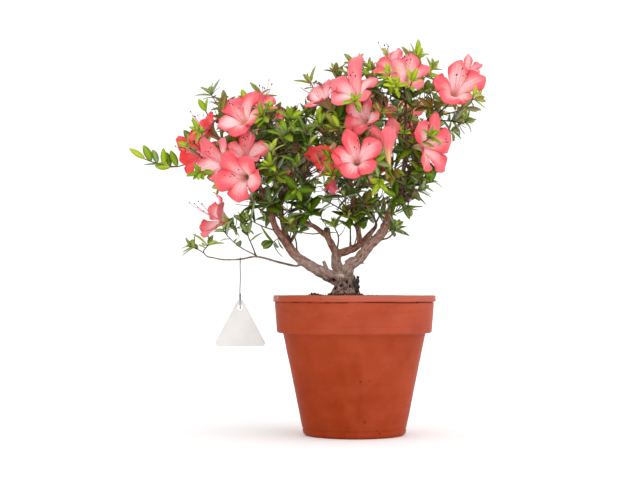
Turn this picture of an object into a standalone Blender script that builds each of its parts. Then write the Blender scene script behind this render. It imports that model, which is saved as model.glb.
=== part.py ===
"""A bonsai azalea in flower, in a terracotta pot, with a small tag hung from a twig.

The plant is a short flared trunk that divides just above the soil into three
boughs. Each bough is a tapering limb with smaller limbs on it, and each limb
bears one or more masses of foliage: twigs that grow by a seeded rule from one
stem, with whorls of leaves and funnel-shaped blooms fused on.

Every place and size below is in millimetres and is turned to metres when a
mesh is made. +Z is up, the front faces -Y, and the origin is on the ground at
the pot's axis.
"""

import math
import random
from dataclasses import dataclass

import bmesh
import bpy
from mathutils import Vector
from mathutils.bvhtree import BVHTree

MM = 0.001
GAP = 0.3
UP = Vector((0.0, 0.0, 1.0))

# Pot: an 18 cm clay pot with a collar and a raised lip
POT_HEIGHT = 156.0
POT_BASE_RADIUS = 57.3
POT_FOOT_LINE = 7.0
POT_BODY_RADIUS = 79.4
COLLAR_HEIGHT = 40.4
COLLAR_RADIUS_LOW = 86.6
COLLAR_RADIUS_HIGH = 89.2
LIP_HEIGHT = 6.5
LIP_RADIUS = 91.0
WALL = 7.0
FLOOR_THICKNESS = 9.0
POT_SIDES = 32
DRAIN_HOLES = 3
DRAIN_RADIUS = 5.0
DRAIN_RING_RADIUS = 28.0

# Soil: it fills the pot and rises to a flat seat under the trunk
SOIL_EDGE_DROP = 6.0
SEAT_RADIUS = 21.0
SEAT_HEIGHT = 158.9

# Trunk
TRUNK_FOOT = Vector((-10.5, 1.0, SEAT_HEIGHT + GAP))
TRUNK_PROFILE = ((0.0, 16.6), (2.5, 14.6), (6.5, 11.9), (11.0, 11.0), (16.0, 10.4), (20.0, 7.5), (22.0, 3.0))
TRUNK_LEAN = Vector((2.0, -0.5, 22.0))
ROOT_LOBES = 5
ROOT_LOBE_DEPTH = 0.13
TRUNK_SIDES = 12

# Tag and its wire
TAG_SIDE_LENGTH = 59.0
TAG_TALL = 55.5
TAG_THICKNESS = 1.2
TAG_CORNER_RADIUS = 4.0
TAG_TOP = 151.0
TAG_X = -128.0
TAG_Y = -6.0
TAG_HOLE_RADIUS = 3.2
TAG_HOLE_BELOW_TOP = 9.0
WIRE_RADIUS = 0.45
WIRE_SIDES = 6

# Foliage
STEM_RADIUS = 1.5
TWIG_RADIUS = 1.15
TWIG_TIP_RADIUS = 0.75
TWIG_SIDES = 3
LEAF_LENGTH = 31.0
LEAF_WIDTH = 11.0
LEAF_THICKNESS = 0.9
LEAVES_IN_WHORL = 5
HUB_RADIUS = 1.4
HUB_HEIGHT = 1.5
BLOOM_RADIUS = 25.5
BLOOM_DEPTH = 30.0
PETALS = 5
CLEARANCE = 0.2

# Growth rule
PLACES_TRIED = 60
NODES_TRIED = 12
INNER_SHARE = 0.5
OUTER_SHARE = 0.85
SHORT_TWIG = 32.0
FORK_SHARE = 0.6
BLOOM_HEAD_START = 30.0
BLOOM_FOOT_SINK = 3.0
LENGTH_COST = 0.35
BEND_COST = 12.0

LEAF_SLOT, PETAL_SLOT, TWIG_SLOT = range(3)


@dataclass(frozen=True)
class Limb:
    """A tapering limb: its first stretch, the collar, is part of the limb that bears it."""

    name: str
    parent: str
    collar: float
    points: tuple
    root_radius: float
    tip_radius: float
    sides: int = 6


@dataclass(frozen=True)
class Spur:
    """A short side stub on a limb, at a distance along it from the limb's root."""

    name: str
    limb: str
    reach: float
    direction: tuple
    length: float
    radius: float


@dataclass(frozen=True)
class Mass:
    """A mass of foliage: what bears it, the middle and half-sizes of its space."""

    name: str
    bearer: str
    middle: tuple
    half: tuple
    whorls: int


@dataclass(frozen=True)
class Bloom:
    """A bloom whose mouth is at a place and faces a direction."""

    mass: str
    place: tuple
    facing: tuple
    spread: float = 1.0
    depth: float = 1.0


@dataclass(frozen=True)
class Sprig:
    """A whorl of leaves set by hand, for the crown's outline."""

    mass: str
    place: tuple
    facing: tuple


LIMBS = (
    Limb("bough_left", "trunk", 17.0,
         ((-10, 1, 170), (-26, 0, 176.5), (-44.5, -3, 186), (-63, -6, 197.6), (-73, -8, 209)), 7.2, 4.8, 8),
    Limb("bough_left_outer", "bough_left", 9.0,
         ((-73, -8, 209), (-84.7, -12, 224.8), (-91.7, -13, 240.6), (-97.4, -12, 259.3),
          (-104.6, -8, 273.5), (-112, -3, 295), (-118, -2, 315)), 4.2, 2.0),
    Limb("bough_left_inner", "bough_left", 11.0,
         ((-69, -7, 204), (-77.4, 2, 224.8), (-81, 5, 240), (-83.1, 8, 256.3), (-83, 8, 280), (-80, 6, 300)),
         3.8, 1.9),
    Limb("bough_middle", "trunk", 18.0,
         ((-9, 3, 172), (-16, 9, 182), (-20, 11, 193), (-20, 12, 204)), 7.2, 5.4, 8),
    Limb("bough_middle_left", "bough_middle", 9.0,
         ((-20, 12, 203), (-25, 12, 212), (-30, 10, 223.5), (-30.7, 9, 232)), 4.4, 3.5),
    Limb("branch_left_low", "bough_middle_left", 10.0,
         ((-29, 10.3, 221), (-36, 8, 226.5), (-46.5, 5, 234.2), (-63, -2, 242)), 3.1, 1.9),
    Limb("bough_middle_right", "bough_middle", 9.0,
         ((-20, 12, 202), (-8, 14, 206), (3, 14, 210.4), (13, 14, 219), (22, 17, 230)), 4.9, 2.8),
    Limb("bough_centre", "bough_middle_right", 7.0,
         ((7, 14, 213.5), (5, 10, 228), (1, 4, 250), (-4, -1, 285), (-8, -3, 325)), 3.2, 1.8),
    Limb("bough_right", "trunk", 14.0,
         ((-9, -2, 172), (-7.5, -6, 184), (-3, -7, 191), (5, -8, 196), (15.9, -9, 210.4), (30.3, -10, 224.8),
          (34.5, -10, 234)), 6.6, 5.0, 8),
    Limb("bough_right_top", "bough_right", 12.0,
         ((29, -10, 223.5), (38, -8, 244), (45.8, -8, 265), (53, -8, 285), (58, -6, 320), (58, -4, 366)),
         3.7, 1.9),
    Limb("tag_twig", "bough_left", 13.0,
         ((-58, -5, 195), (-64, -7, 188.6), (-82.9, -9, 192.2), (-108.8, -8, 198.7), (-128, -6, 196),
          (-146.2, -6, 195.5), (-160.4, -6, 198.1)), 1.7, 0.9, 5),
)

SPURS = (
    Spur("left_front", "bough_left_outer", 66.0, (-0.3, -1.0, 0.35), 11.0, 1.8),
    Spur("left_tip", "bough_left_outer", 92.0, (-1.0, 0.05, 0.35), 10.0, 1.8),
    Spur("left_back", "bough_left_outer", 80.0, (-0.2, 1.0, 0.4), 11.0, 1.8),
    Spur("mid_front", "bough_left_inner", 58.0, (0.25, -1.0, 0.4), 11.0, 1.7),
    Spur("mid_back", "bough_left_inner", 66.0, (0.3, 1.0, 0.4), 11.0, 1.7),
    Spur("shoot_left", "bough_left", 62.0, (-0.05, -0.35, 1.0), 11.0, 1.0),
    Spur("shoot_middle", "bough_middle", 33.0, (0.15, -0.25, 1.0), 14.0, 1.0),
    Spur("centre_low", "bough_middle_right", 17.0, (0.0, -0.35, 1.0), 10.0, 1.1),
    Spur("centre_front", "bough_centre", 74.0, (0.1, -1.0, 0.35), 10.0, 1.7),
    Spur("centre_back", "bough_centre", 80.0, (-0.1, 1.0, 0.45), 10.0, 1.7),
    Spur("right_sprig", "bough_right", 56.0, (1.0, -0.25, 0.25), 13.0, 1.1),
    Spur("right_low", "bough_right_top", 34.0, (0.9, -0.55, 0.3), 10.0, 1.6),
    Spur("right_side", "bough_right_top", 72.0, (0.8, -0.6, 0.5), 10.0, 1.6),
    Spur("right_back", "bough_right_top", 84.0, (0.3, 1.0, 0.5), 10.0, 1.6),
    Spur("right_outer", "bough_right_top", 118.0, (1.0, -0.05, 0.5), 10.0, 1.6),
    Spur("tag_rise", "tag_twig", 56.0, (-0.55, 0.0, 0.85), 6.0, 0.9),
    Spur("pruned_stub", "bough_left", 19.0, (-0.42, -0.1, 1.0), 18.5, 2.0),
    Spur("pruned_knob", "bough_right", 21.5, (-0.55, -0.2, 1.0), 8.5, 3.4),
    Spur("dead_twig", "bough_right", 21.0, (1.0, -0.1, 0.05), 15.0, 0.6),
    Spur("dead_stick", "bough_middle_left", 25.0, (-0.35, -0.1, 1.0), 21.0, 0.7),
)

MASSES = (
    Mass("left_tip", "left_tip", (-186, 0, 322), (50, 42, 40), 4),
    Mass("left_top", "bough_left_outer", (-134, 4, 360), (44, 46, 30), 4),
    Mass("left_front", "left_front", (-128, -58, 302), (42, 36, 42), 5),
    Mass("left_back", "left_back", (-130, 56, 318), (48, 40, 42), 6),
    Mass("mid_front", "mid_front", (-68, -48, 300), (38, 36, 46), 7),
    Mass("mid_top", "bough_left_inner", (-74, -2, 346), (36, 42, 28), 5),
    Mass("mid_back", "mid_back", (-62, 60, 308), (44, 42, 46), 6),
    Mass("left_low", "branch_left_low", (-74, -8, 256), (32, 34, 24), 5),
    Mass("shoot_left", "shoot_left", (-73, -32, 236), (12, 12, 14), 0),
    Mass("shoot_middle", "shoot_middle", (-24, -4, 240), (10, 10, 10), 0),
    Mass("centre_low", "centre_low", (-6, -22, 254), (30, 30, 22), 4),
    Mass("centre_front", "centre_front", (-4, -64, 314), (44, 34, 44), 5),
    Mass("centre_top", "bough_centre", (-14, -10, 380), (42, 46, 40), 5),
    Mass("centre_back", "centre_back", (-2, 62, 345), (46, 42, 48), 6),
    Mass("back_low", "bough_middle_right", (20, 46, 268), (42, 36, 30), 5),
    Mass("right_sprig", "right_sprig", (48, -18, 236), (16, 14, 14), 0),
    Mass("right_low", "right_low", (64, -18, 266), (36, 36, 26), 5),
    Mass("right_side", "right_side", (82, -30, 318), (40, 38, 32), 5),
    Mass("right_outer", "right_outer", (108, -8, 374), (36, 42, 30), 5),
    Mass("right_top", "bough_right_top", (48, -6, 408), (42, 44, 30), 5),
    Mass("right_back", "right_back", (74, 58, 350), (46, 40, 46), 6),
    Mass("tag_rise", "tag_rise", (-140, -4, 236), (26, 20, 20), 0),
    Mass("tag_tip", "tag_twig", (-170, -2, 212), (18, 18, 14), 0),
)

BLOOMS = (
    Bloom("left_top", (-131, -42, 357), (-0.5, -0.55, 0.7), 1.05),
    Bloom("left_top", (-104, -5, 380), (0.25, 0.3, 0.9), 0.9),
    Bloom("left_top", (-164, 14, 352), (-0.45, 0.35, 0.8), 0.8),
    Bloom("left_front", (-154, -60, 306), (-0.8, -0.6, 0.15)),
    Bloom("left_front", (-117, -82, 287), (-0.15, -0.9, -0.3)),
    Bloom("left_front", (-117, -54, 323), (0.1, -0.8, 0.55), 0.95),
    Bloom("left_tip", (-177, -12, 330), (-0.85, 0.3, 0.2), 0.95),
    Bloom("left_back", (-150, 86, 322), (-0.45, 0.85, 0.2)),
    Bloom("left_back", (-112, 82, 346), (0.1, 0.8, 0.6), 0.9),
    Bloom("tag_rise", (-163, -8, 253), (-0.85, -0.25, 0.3), 0.85, 0.85),
    Bloom("mid_top", (-82, -28, 361), (0.15, -0.1, 0.95), 0.36, 0.75),
    Bloom("mid_back", (-66, 98, 316), (-0.15, 0.95, 0.25)),
    Bloom("centre_top", (-41, -22, 380), (-0.6, -0.1, 0.75)),
    Bloom("centre_top", (-2, -46, 388), (-0.35, -0.65, 0.65), 1.1),
    Bloom("centre_top", (5, -48, 353), (-0.35, -0.6, -0.5), 0.9, 0.85),
    Bloom("centre_front", (0, -88, 309), (-0.05, -0.95, 0.2)),
    Bloom("centre_front", (31, -74, 341), (-0.12, 0.1, 1.0), 0.62, 1.3),
    Bloom("centre_front", (-39, -52, 314), (-0.35, -0.8, -0.15), 0.9),
    Bloom("centre_front", (-27, -50, 281), (-0.1, -0.15, -1.0), 0.4, 0.8),
    Bloom("centre_back", (-18, 98, 350), (-0.15, 0.9, 0.35)),
    Bloom("centre_back", (22, 88, 382), (0.2, 0.65, 0.75), 0.95),
    Bloom("right_top", (38, -18, 413), (-0.55, -0.35, 0.7), 0.9),
    Bloom("right_top", (62, -38, 405), (0.25, -0.75, 0.6)),
    Bloom("right_outer", (111, -36, 388), (0.45, -0.7, 0.5), 1.05),
    Bloom("right_side", (84, -42, 324), (0.85, -0.45, 0.05)),
    Bloom("right_side", (78, 24, 344), (0.0, 0.2, 0.9), 0.7),
    Bloom("right_back", (104, 84, 356), (0.5, 0.8, 0.3)),
    Bloom("right_back", (64, 92, 332), (-0.1, 0.95, 0.1), 0.9),
    Bloom("back_low", (22, 78, 276), (0.1, 0.95, 0.1), 0.9),
)

SPRIGS = (
    Sprig("left_tip", (-226, 0, 307), (-1.0, -0.1, 0.35)),
    Sprig("left_tip", (-208, 2, 302), (-0.5, -0.3, 0.6)),
    Sprig("left_tip", (-176, -38, 338), (-0.3, -0.4, 1.0)),
    Sprig("left_tip", (-172, -25, 300), (-0.7, -0.5, -0.3)),
    Sprig("left_top", (-166, 5, 364), (-0.3, 0.0, 1.0)),
    Sprig("left_top", (-143, 18, 372), (-0.2, 0.3, 0.9)),
    Sprig("left_top", (-99, -18, 360), (0.2, -0.4, 0.9)),
    Sprig("mid_top", (-67, -15, 353), (0.0, -0.2, 1.0)),
    Sprig("mid_top", (-54, 6, 360), (0.4, 0.1, 1.0)),
    Sprig("centre_top", (-5, 5, 415), (-0.2, 0.0, 1.0)),
    Sprig("right_top", (33, 14, 424), (-0.1, 0.2, 1.0)),
    Sprig("right_top", (64, 8, 418), (0.1, 0.1, 1.0)),
    Sprig("right_outer", (88, 5, 405), (0.2, 0.1, 0.95)),
    Sprig("right_outer", (123, -12, 374), (1.0, -0.2, 0.5)),
    Sprig("right_outer", (112, -2, 352), (1.0, 0.0, 0.1)),
    Sprig("right_low", (80, -24, 284), (1.0, -0.1, -0.05)),
    Sprig("right_low", (72, -20, 272), (0.9, -0.2, -0.3)),
    Sprig("right_low", (60, -16, 254), (0.8, -0.3, -0.2)),
    Sprig("right_sprig", (46, -17, 230), (0.5, -0.3, 0.5)),
    Sprig("shoot_left", (-72, -24, 236), (-0.1, -0.5, 0.9)),
    Sprig("shoot_middle", (-22, 4, 233), (0.0, -0.4, 0.9)),
    Sprig("centre_low", (-4, -14, 244), (0.1, -0.4, 0.9)),
    Sprig("tag_rise", (-126, -4, 243), (0.1, -0.3, 0.9)),
    Sprig("tag_rise", (-146, -6, 229), (-0.4, -0.4, 0.6)),
    Sprig("tag_tip", (-173, -5, 211), (-0.9, -0.1, 0.4)),
    Sprig("tag_tip", (-165, 4, 213), (0.1, 0.2, 1.0)),
)


class Solid:
    """A closed shape of triangles in millimetres, each with its colour, and a search tree of its surface."""

    def __init__(self, corners, triangles, slot=TWIG_SLOT, twig_triangles=0):
        self.corners = corners
        self.triangles = triangles
        self.slots = [TWIG_SLOT] * twig_triangles + [slot] * (len(triangles) - twig_triangles)
        self.tree = BVHTree.FromPolygons(corners, triangles)
        self.low = Vector(map(min, zip(*corners)))
        self.high = Vector(map(max, zip(*corners)))

    def holds(self, place):
        """Tell whether a place lies inside the surface."""
        hits = 0
        start, ahead = place, Vector((0.31, 0.22, 0.92))
        while hits < 20:
            hit = self.tree.ray_cast(start, ahead)[0]
            if hit is None:
                break
            hits += 1
            start = hit + ahead * 0.001
        return hits % 2 == 1

    def near(self, other):
        """Tell whether the two boxes come within the clearance."""
        return all(self.low[i] - CLEARANCE < other.high[i] and other.low[i] - CLEARANCE < self.high[i]
                   for i in range(3))

    def touches(self, other):
        """Tell whether the two surfaces cross or come within the clearance."""
        if not self.near(other):
            return False
        if self.tree.overlap(other.tree):
            return True
        mine = (other.tree.find_nearest(corner, CLEARANCE)[0] for corner in self.corners)
        theirs = (self.tree.find_nearest(corner, CLEARANCE)[0] for corner in other.corners)
        return any(hit is not None for hit in mine) or any(hit is not None for hit in theirs)


def clear_scene():
    """Remove every object that the file starts with."""
    for obj in list(bpy.data.objects):
        bpy.data.objects.remove(obj, do_unlink=True)


def finish(name, colour, roughness):
    """Return a plain Principled material."""
    material = bpy.data.materials.new(name)
    material.use_nodes = True
    shader = material.node_tree.nodes["Principled BSDF"]
    shader.inputs["Base Color"].default_value = (*colour, 1.0)
    shader.inputs["Roughness"].default_value = roughness
    shader.inputs["Metallic"].default_value = 0.0
    material.diffuse_color = (*colour, 1.0)
    return material


def mesh_object(name, corners, faces, materials, slots=None):
    """Make an object in the scene from corners in millimetres."""
    mesh = bpy.data.meshes.new(name)
    mesh.from_pydata([Vector(corner) * MM for corner in corners], [], faces)
    for material in materials:
        mesh.materials.append(material)
    if slots:
        mesh.polygons.foreach_set("material_index", slots)
    obj = bpy.data.objects.new(name, mesh)
    bpy.context.collection.objects.link(obj)
    return obj


def smooth_shaded(obj, angle_degrees=35.0):
    """Shade an object's round parts smooth."""
    obj.data.shade_smooth()
    obj.data.set_sharp_from_angle(angle=math.radians(angle_degrees))


def is_closed(mesh):
    """Tell whether every edge of a mesh has two faces."""
    work = bmesh.new()
    work.from_mesh(mesh)
    closed = all(edge.is_manifold for edge in work.edges)
    work.free()
    return closed


def combined(obj, others, operation):
    """Join others to an object, or cut them from it, with one Boolean on a collection.

    The exact solver comes first; where it leaves the mesh open, the manifold one is used.
    """
    tools = bpy.data.collections.new(obj.name + "_tools")
    bpy.context.scene.collection.children.link(tools)
    for other in others:
        bpy.context.collection.objects.unlink(other)
        tools.objects.link(other)
    boolean = obj.modifiers.new("Join", "BOOLEAN")
    boolean.operand_type = "COLLECTION"
    boolean.collection = tools
    boolean.operation = operation
    for solver in ("EXACT", "MANIFOLD"):
        boolean.solver = solver
        evaluated = obj.evaluated_get(bpy.context.evaluated_depsgraph_get())
        joined = bpy.data.meshes.new_from_object(evaluated)
        if is_closed(joined):
            break
    obj.modifiers.clear()
    obj.data = joined
    for other in others:
        bpy.data.objects.remove(other, do_unlink=True)
    bpy.data.collections.remove(tools)


def keep_largest_body(obj):
    """Drop loose scraps, so that one body is left."""
    work = bmesh.new()
    work.from_mesh(obj.data)
    left = set(work.verts)
    bodies = []
    while left:
        first = left.pop()
        body = {first}
        edge_of_body = [first]
        while edge_of_body:
            corner = edge_of_body.pop()
            linked = {edge.other_vert(corner) for edge in corner.link_edges} & left
            left -= linked
            body |= linked
            edge_of_body.extend(linked)
        bodies.append(body)
    bodies.sort(key=len)
    for scrap in bodies[:-1]:
        bmesh.ops.delete(work, geom=list(scrap), context="VERTS")
    bmesh.ops.triangulate(work, faces=work.faces)
    work.to_mesh(obj.data)
    work.free()


def turned(profile, sides, centre=(0.0, 0.0)):
    """Return corners and faces of a closed solid turned about a vertical axis.

    The profile is a list of (radius, height) from the bottom of the axis, out and
    up over the outside, and back to the axis; its two ends are on the axis.
    """
    corners = [Vector((centre[0], centre[1], profile[0][1]))]
    for radius, height in profile[1:-1]:
        for k in range(sides):
            turn = 2.0 * math.pi * k / sides
            corners.append(Vector((centre[0] + radius * math.cos(turn), centre[1] + radius * math.sin(turn), height)))
    corners.append(Vector((centre[0], centre[1], profile[-1][1])))
    rings = len(profile) - 2
    last = len(corners) - 1
    faces = []
    for k in range(sides):
        after = (k + 1) % sides
        faces.append((0, 1 + after, 1 + k))
        for ring in range(rings - 1):
            low = 1 + ring * sides
            high = low + sides
            faces.append((low + k, low + after, high + after, high + k))
        top = 1 + (rings - 1) * sides
        faces.append((top + k, top + after, last))
    return corners, faces


def smooth_path(points, step):
    """Return points about a step apart on a Catmull-Rom curve through the given points."""
    knots = [Vector(point) for point in points]
    knots = [knots[0] * 2 - knots[1]] + knots + [knots[-1] * 2 - knots[-2]]
    path = [knots[1]]
    for before, start, end, after in zip(knots, knots[1:], knots[2:], knots[3:]):
        pieces = max(1, round((end - start).length / step))
        for k in range(1, pieces + 1):
            t = k / pieces
            path.append(0.5 * (2 * start + (end - before) * t + (2 * before - 5 * start + 4 * end - after) * t ** 2
                               + (3 * start - before - 3 * end + after) * t ** 3))
    return path


def across(direction, hint=UP):
    """Return two unit vectors square to a direction and to each other."""
    if abs(direction.dot(hint)) > 0.95:
        hint = Vector((1.0, 0.0, 0.0)) if abs(direction.x) < 0.9 else Vector((0.0, 1.0, 0.0))
    side = direction.cross(hint).normalized()
    return side, side.cross(direction).normalized()


def tube(path, radii, sides, turn=0.3, first_way=None, last_way=None):
    """Return a closed tube round a path; its flat ends lie across the given ways, or across the path."""
    directions = []
    for k in range(len(path)):
        before = path[max(k - 1, 0)]
        after = path[min(k + 1, len(path) - 1)]
        directions.append((after - before).normalized())
    directions[0] = first_way or directions[0]
    directions[-1] = last_way or directions[-1]
    side, rise = across(directions[0])
    corners = []
    for k, point in enumerate(path):
        side = (side - directions[k] * side.dot(directions[k])).normalized()
        rise = side.cross(directions[k]).normalized()
        for j in range(sides):
            angle = turn + 2.0 * math.pi * j / sides
            corners.append(point + (side * math.cos(angle) + rise * math.sin(angle)) * radii[k])
    triangles = []
    for k in range(len(path) - 1):
        for j in range(sides):
            a = k * sides + j
            b = k * sides + (j + 1) % sides
            triangles.append((a, a + sides, b))
            triangles.append((b, a + sides, b + sides))
    last = (len(path) - 1) * sides
    for j in range(1, sides - 1):
        triangles.append((0, j, j + 1))
        triangles.append((last, last + j + 1, last + j))
    return Solid(corners, triangles)


def tapered(root, tip, count, swell=0.0):
    """Return radii that shrink from a root to a tip, with a slight knobbly swell."""
    return [(root + (tip - root) * k / (count - 1)) * (1.0 + swell * math.sin(2.3 * k + root))
            for k in range(count)]


def cut_path(path, radii, distance):
    """Split a path and its radii at a distance along it, with a point of both at the cut."""
    gone = 0.0
    for k in range(len(path) - 1):
        length = (path[k + 1] - path[k]).length
        if gone + length > distance:
            t = (distance - gone) / length
            middle = path[k].lerp(path[k + 1], t)
            radius = radii[k] + (radii[k + 1] - radii[k]) * t
            keep = k + 1 if t > 0.25 or k == 0 else k
            drop = k + 1 if t < 0.75 else k + 2
            return (path[:keep] + [middle], radii[:keep] + [radius],
                    [middle] + path[drop:], [radius] + radii[drop:])
        gone += length
    raise ValueError("the cut lies past the path's end")


def point_along(path, radii, distance):
    """Return the point, direction and radius at a distance along a path."""
    low, low_radii, high, _ = cut_path(path, radii, distance)
    return low[-1], (high[1] - low[-2]).normalized(), low_radii[-1]


class Wood:
    """The trunk and every limb: their solids and the ends that bear foliage."""

    STEP = 13.0

    def __init__(self):
        self.parts = {"trunk": [self.trunk_solid(), *self.dead_wood()]}
        self.ends = {}
        self.paths = {}
        for limb in LIMBS:
            self.add_limb(limb)
        for spur in SPURS:
            self.add_spur(spur)

    def trunk_solid(self):
        """Return the trunk's stump: a lobed root flare, a waist and a rounded crotch."""
        corners = [TRUNK_FOOT.copy()]
        for height, radius in TRUNK_PROFILE:
            share = height / TRUNK_LEAN.z
            centre = TRUNK_FOOT + TRUNK_LEAN * share
            depth = ROOT_LOBE_DEPTH * (1.0 - share)
            for k in range(TRUNK_SIDES):
                turn = 2.0 * math.pi * k / TRUNK_SIDES
                wide = radius * (1.0 + depth * math.cos(ROOT_LOBES * turn + 0.6))
                corners.append(centre + Vector((wide * math.cos(turn), wide * math.sin(turn), 0.0)))
        corners.append(TRUNK_FOOT + TRUNK_LEAN + Vector((0.0, 0.0, 1.0)))
        triangles = []
        rings = len(TRUNK_PROFILE)
        top = len(corners) - 1
        for k in range(TRUNK_SIDES):
            after = (k + 1) % TRUNK_SIDES
            triangles.append((0, 1 + after, 1 + k))
            for ring in range(rings - 1):
                a = 1 + ring * TRUNK_SIDES + k
                b = 1 + ring * TRUNK_SIDES + after
                triangles.append((a, b, a + TRUNK_SIDES))
                triangles.append((b, b + TRUNK_SIDES, a + TRUNK_SIDES))
            last = 1 + (rings - 1) * TRUNK_SIDES
            triangles.append((last + k, last + after, top))
        return Solid(corners, triangles)

    def dead_wood(self):
        """Return the jagged dead stump on the trunk's right: leaning splinters of one root."""
        foot = Vector((0.5, -3.0, SEAT_HEIGHT + GAP + 1.2))
        splinters = []
        for lean, height, radius in (((-1.5, 1.0), 15.5, 3.2), ((3.2, -0.5), 16.5, 2.7), ((1.0, -2.5), 11.0, 2.9)):
            tip = foot + Vector((lean[0], lean[1], height))
            path = [foot - Vector((2.0, 0.0, 0.0)), foot.lerp(tip, 0.5) + Vector((0.6, 0.0, 0.0)), tip]
            splinters.append(tube(path, [radius * 1.25, radius, radius * 0.55], 5, first_way=UP))
        return splinters

    def add_limb(self, limb):
        """Divide a limb between its parent's node and its own, a gap apart."""
        path = smooth_path(limb.points, self.STEP)
        radii = tapered(limb.root_radius, limb.tip_radius, len(path), swell=0.04)
        low, low_radii, high, high_radii = cut_path(path, radii, limb.collar)
        way = (high[1] - low[-2]).normalized()
        high[0] = high[0] + way * GAP
        self.parts[limb.parent].append(tube(low, low_radii, limb.sides, last_way=way))
        self.parts[limb.name] = [tube(high, high_radii, limb.sides, first_way=way)]
        self.paths[limb.name] = (path, radii)
        self.ends[limb.name] = (path[-1], (path[-1] - path[-2]).normalized(), radii[-1])

    def add_spur(self, spur):
        """Add a spur to its limb's node and keep its end."""
        start, _, _ = point_along(*self.paths[spur.limb], spur.reach)
        direction = Vector(spur.direction).normalized()
        end = start + direction * spur.length
        self.parts[spur.limb].append(tube([start, end], [spur.radius * 1.25, spur.radius], 5))
        self.ends[spur.name] = (end, direction, spur.radius)


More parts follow.
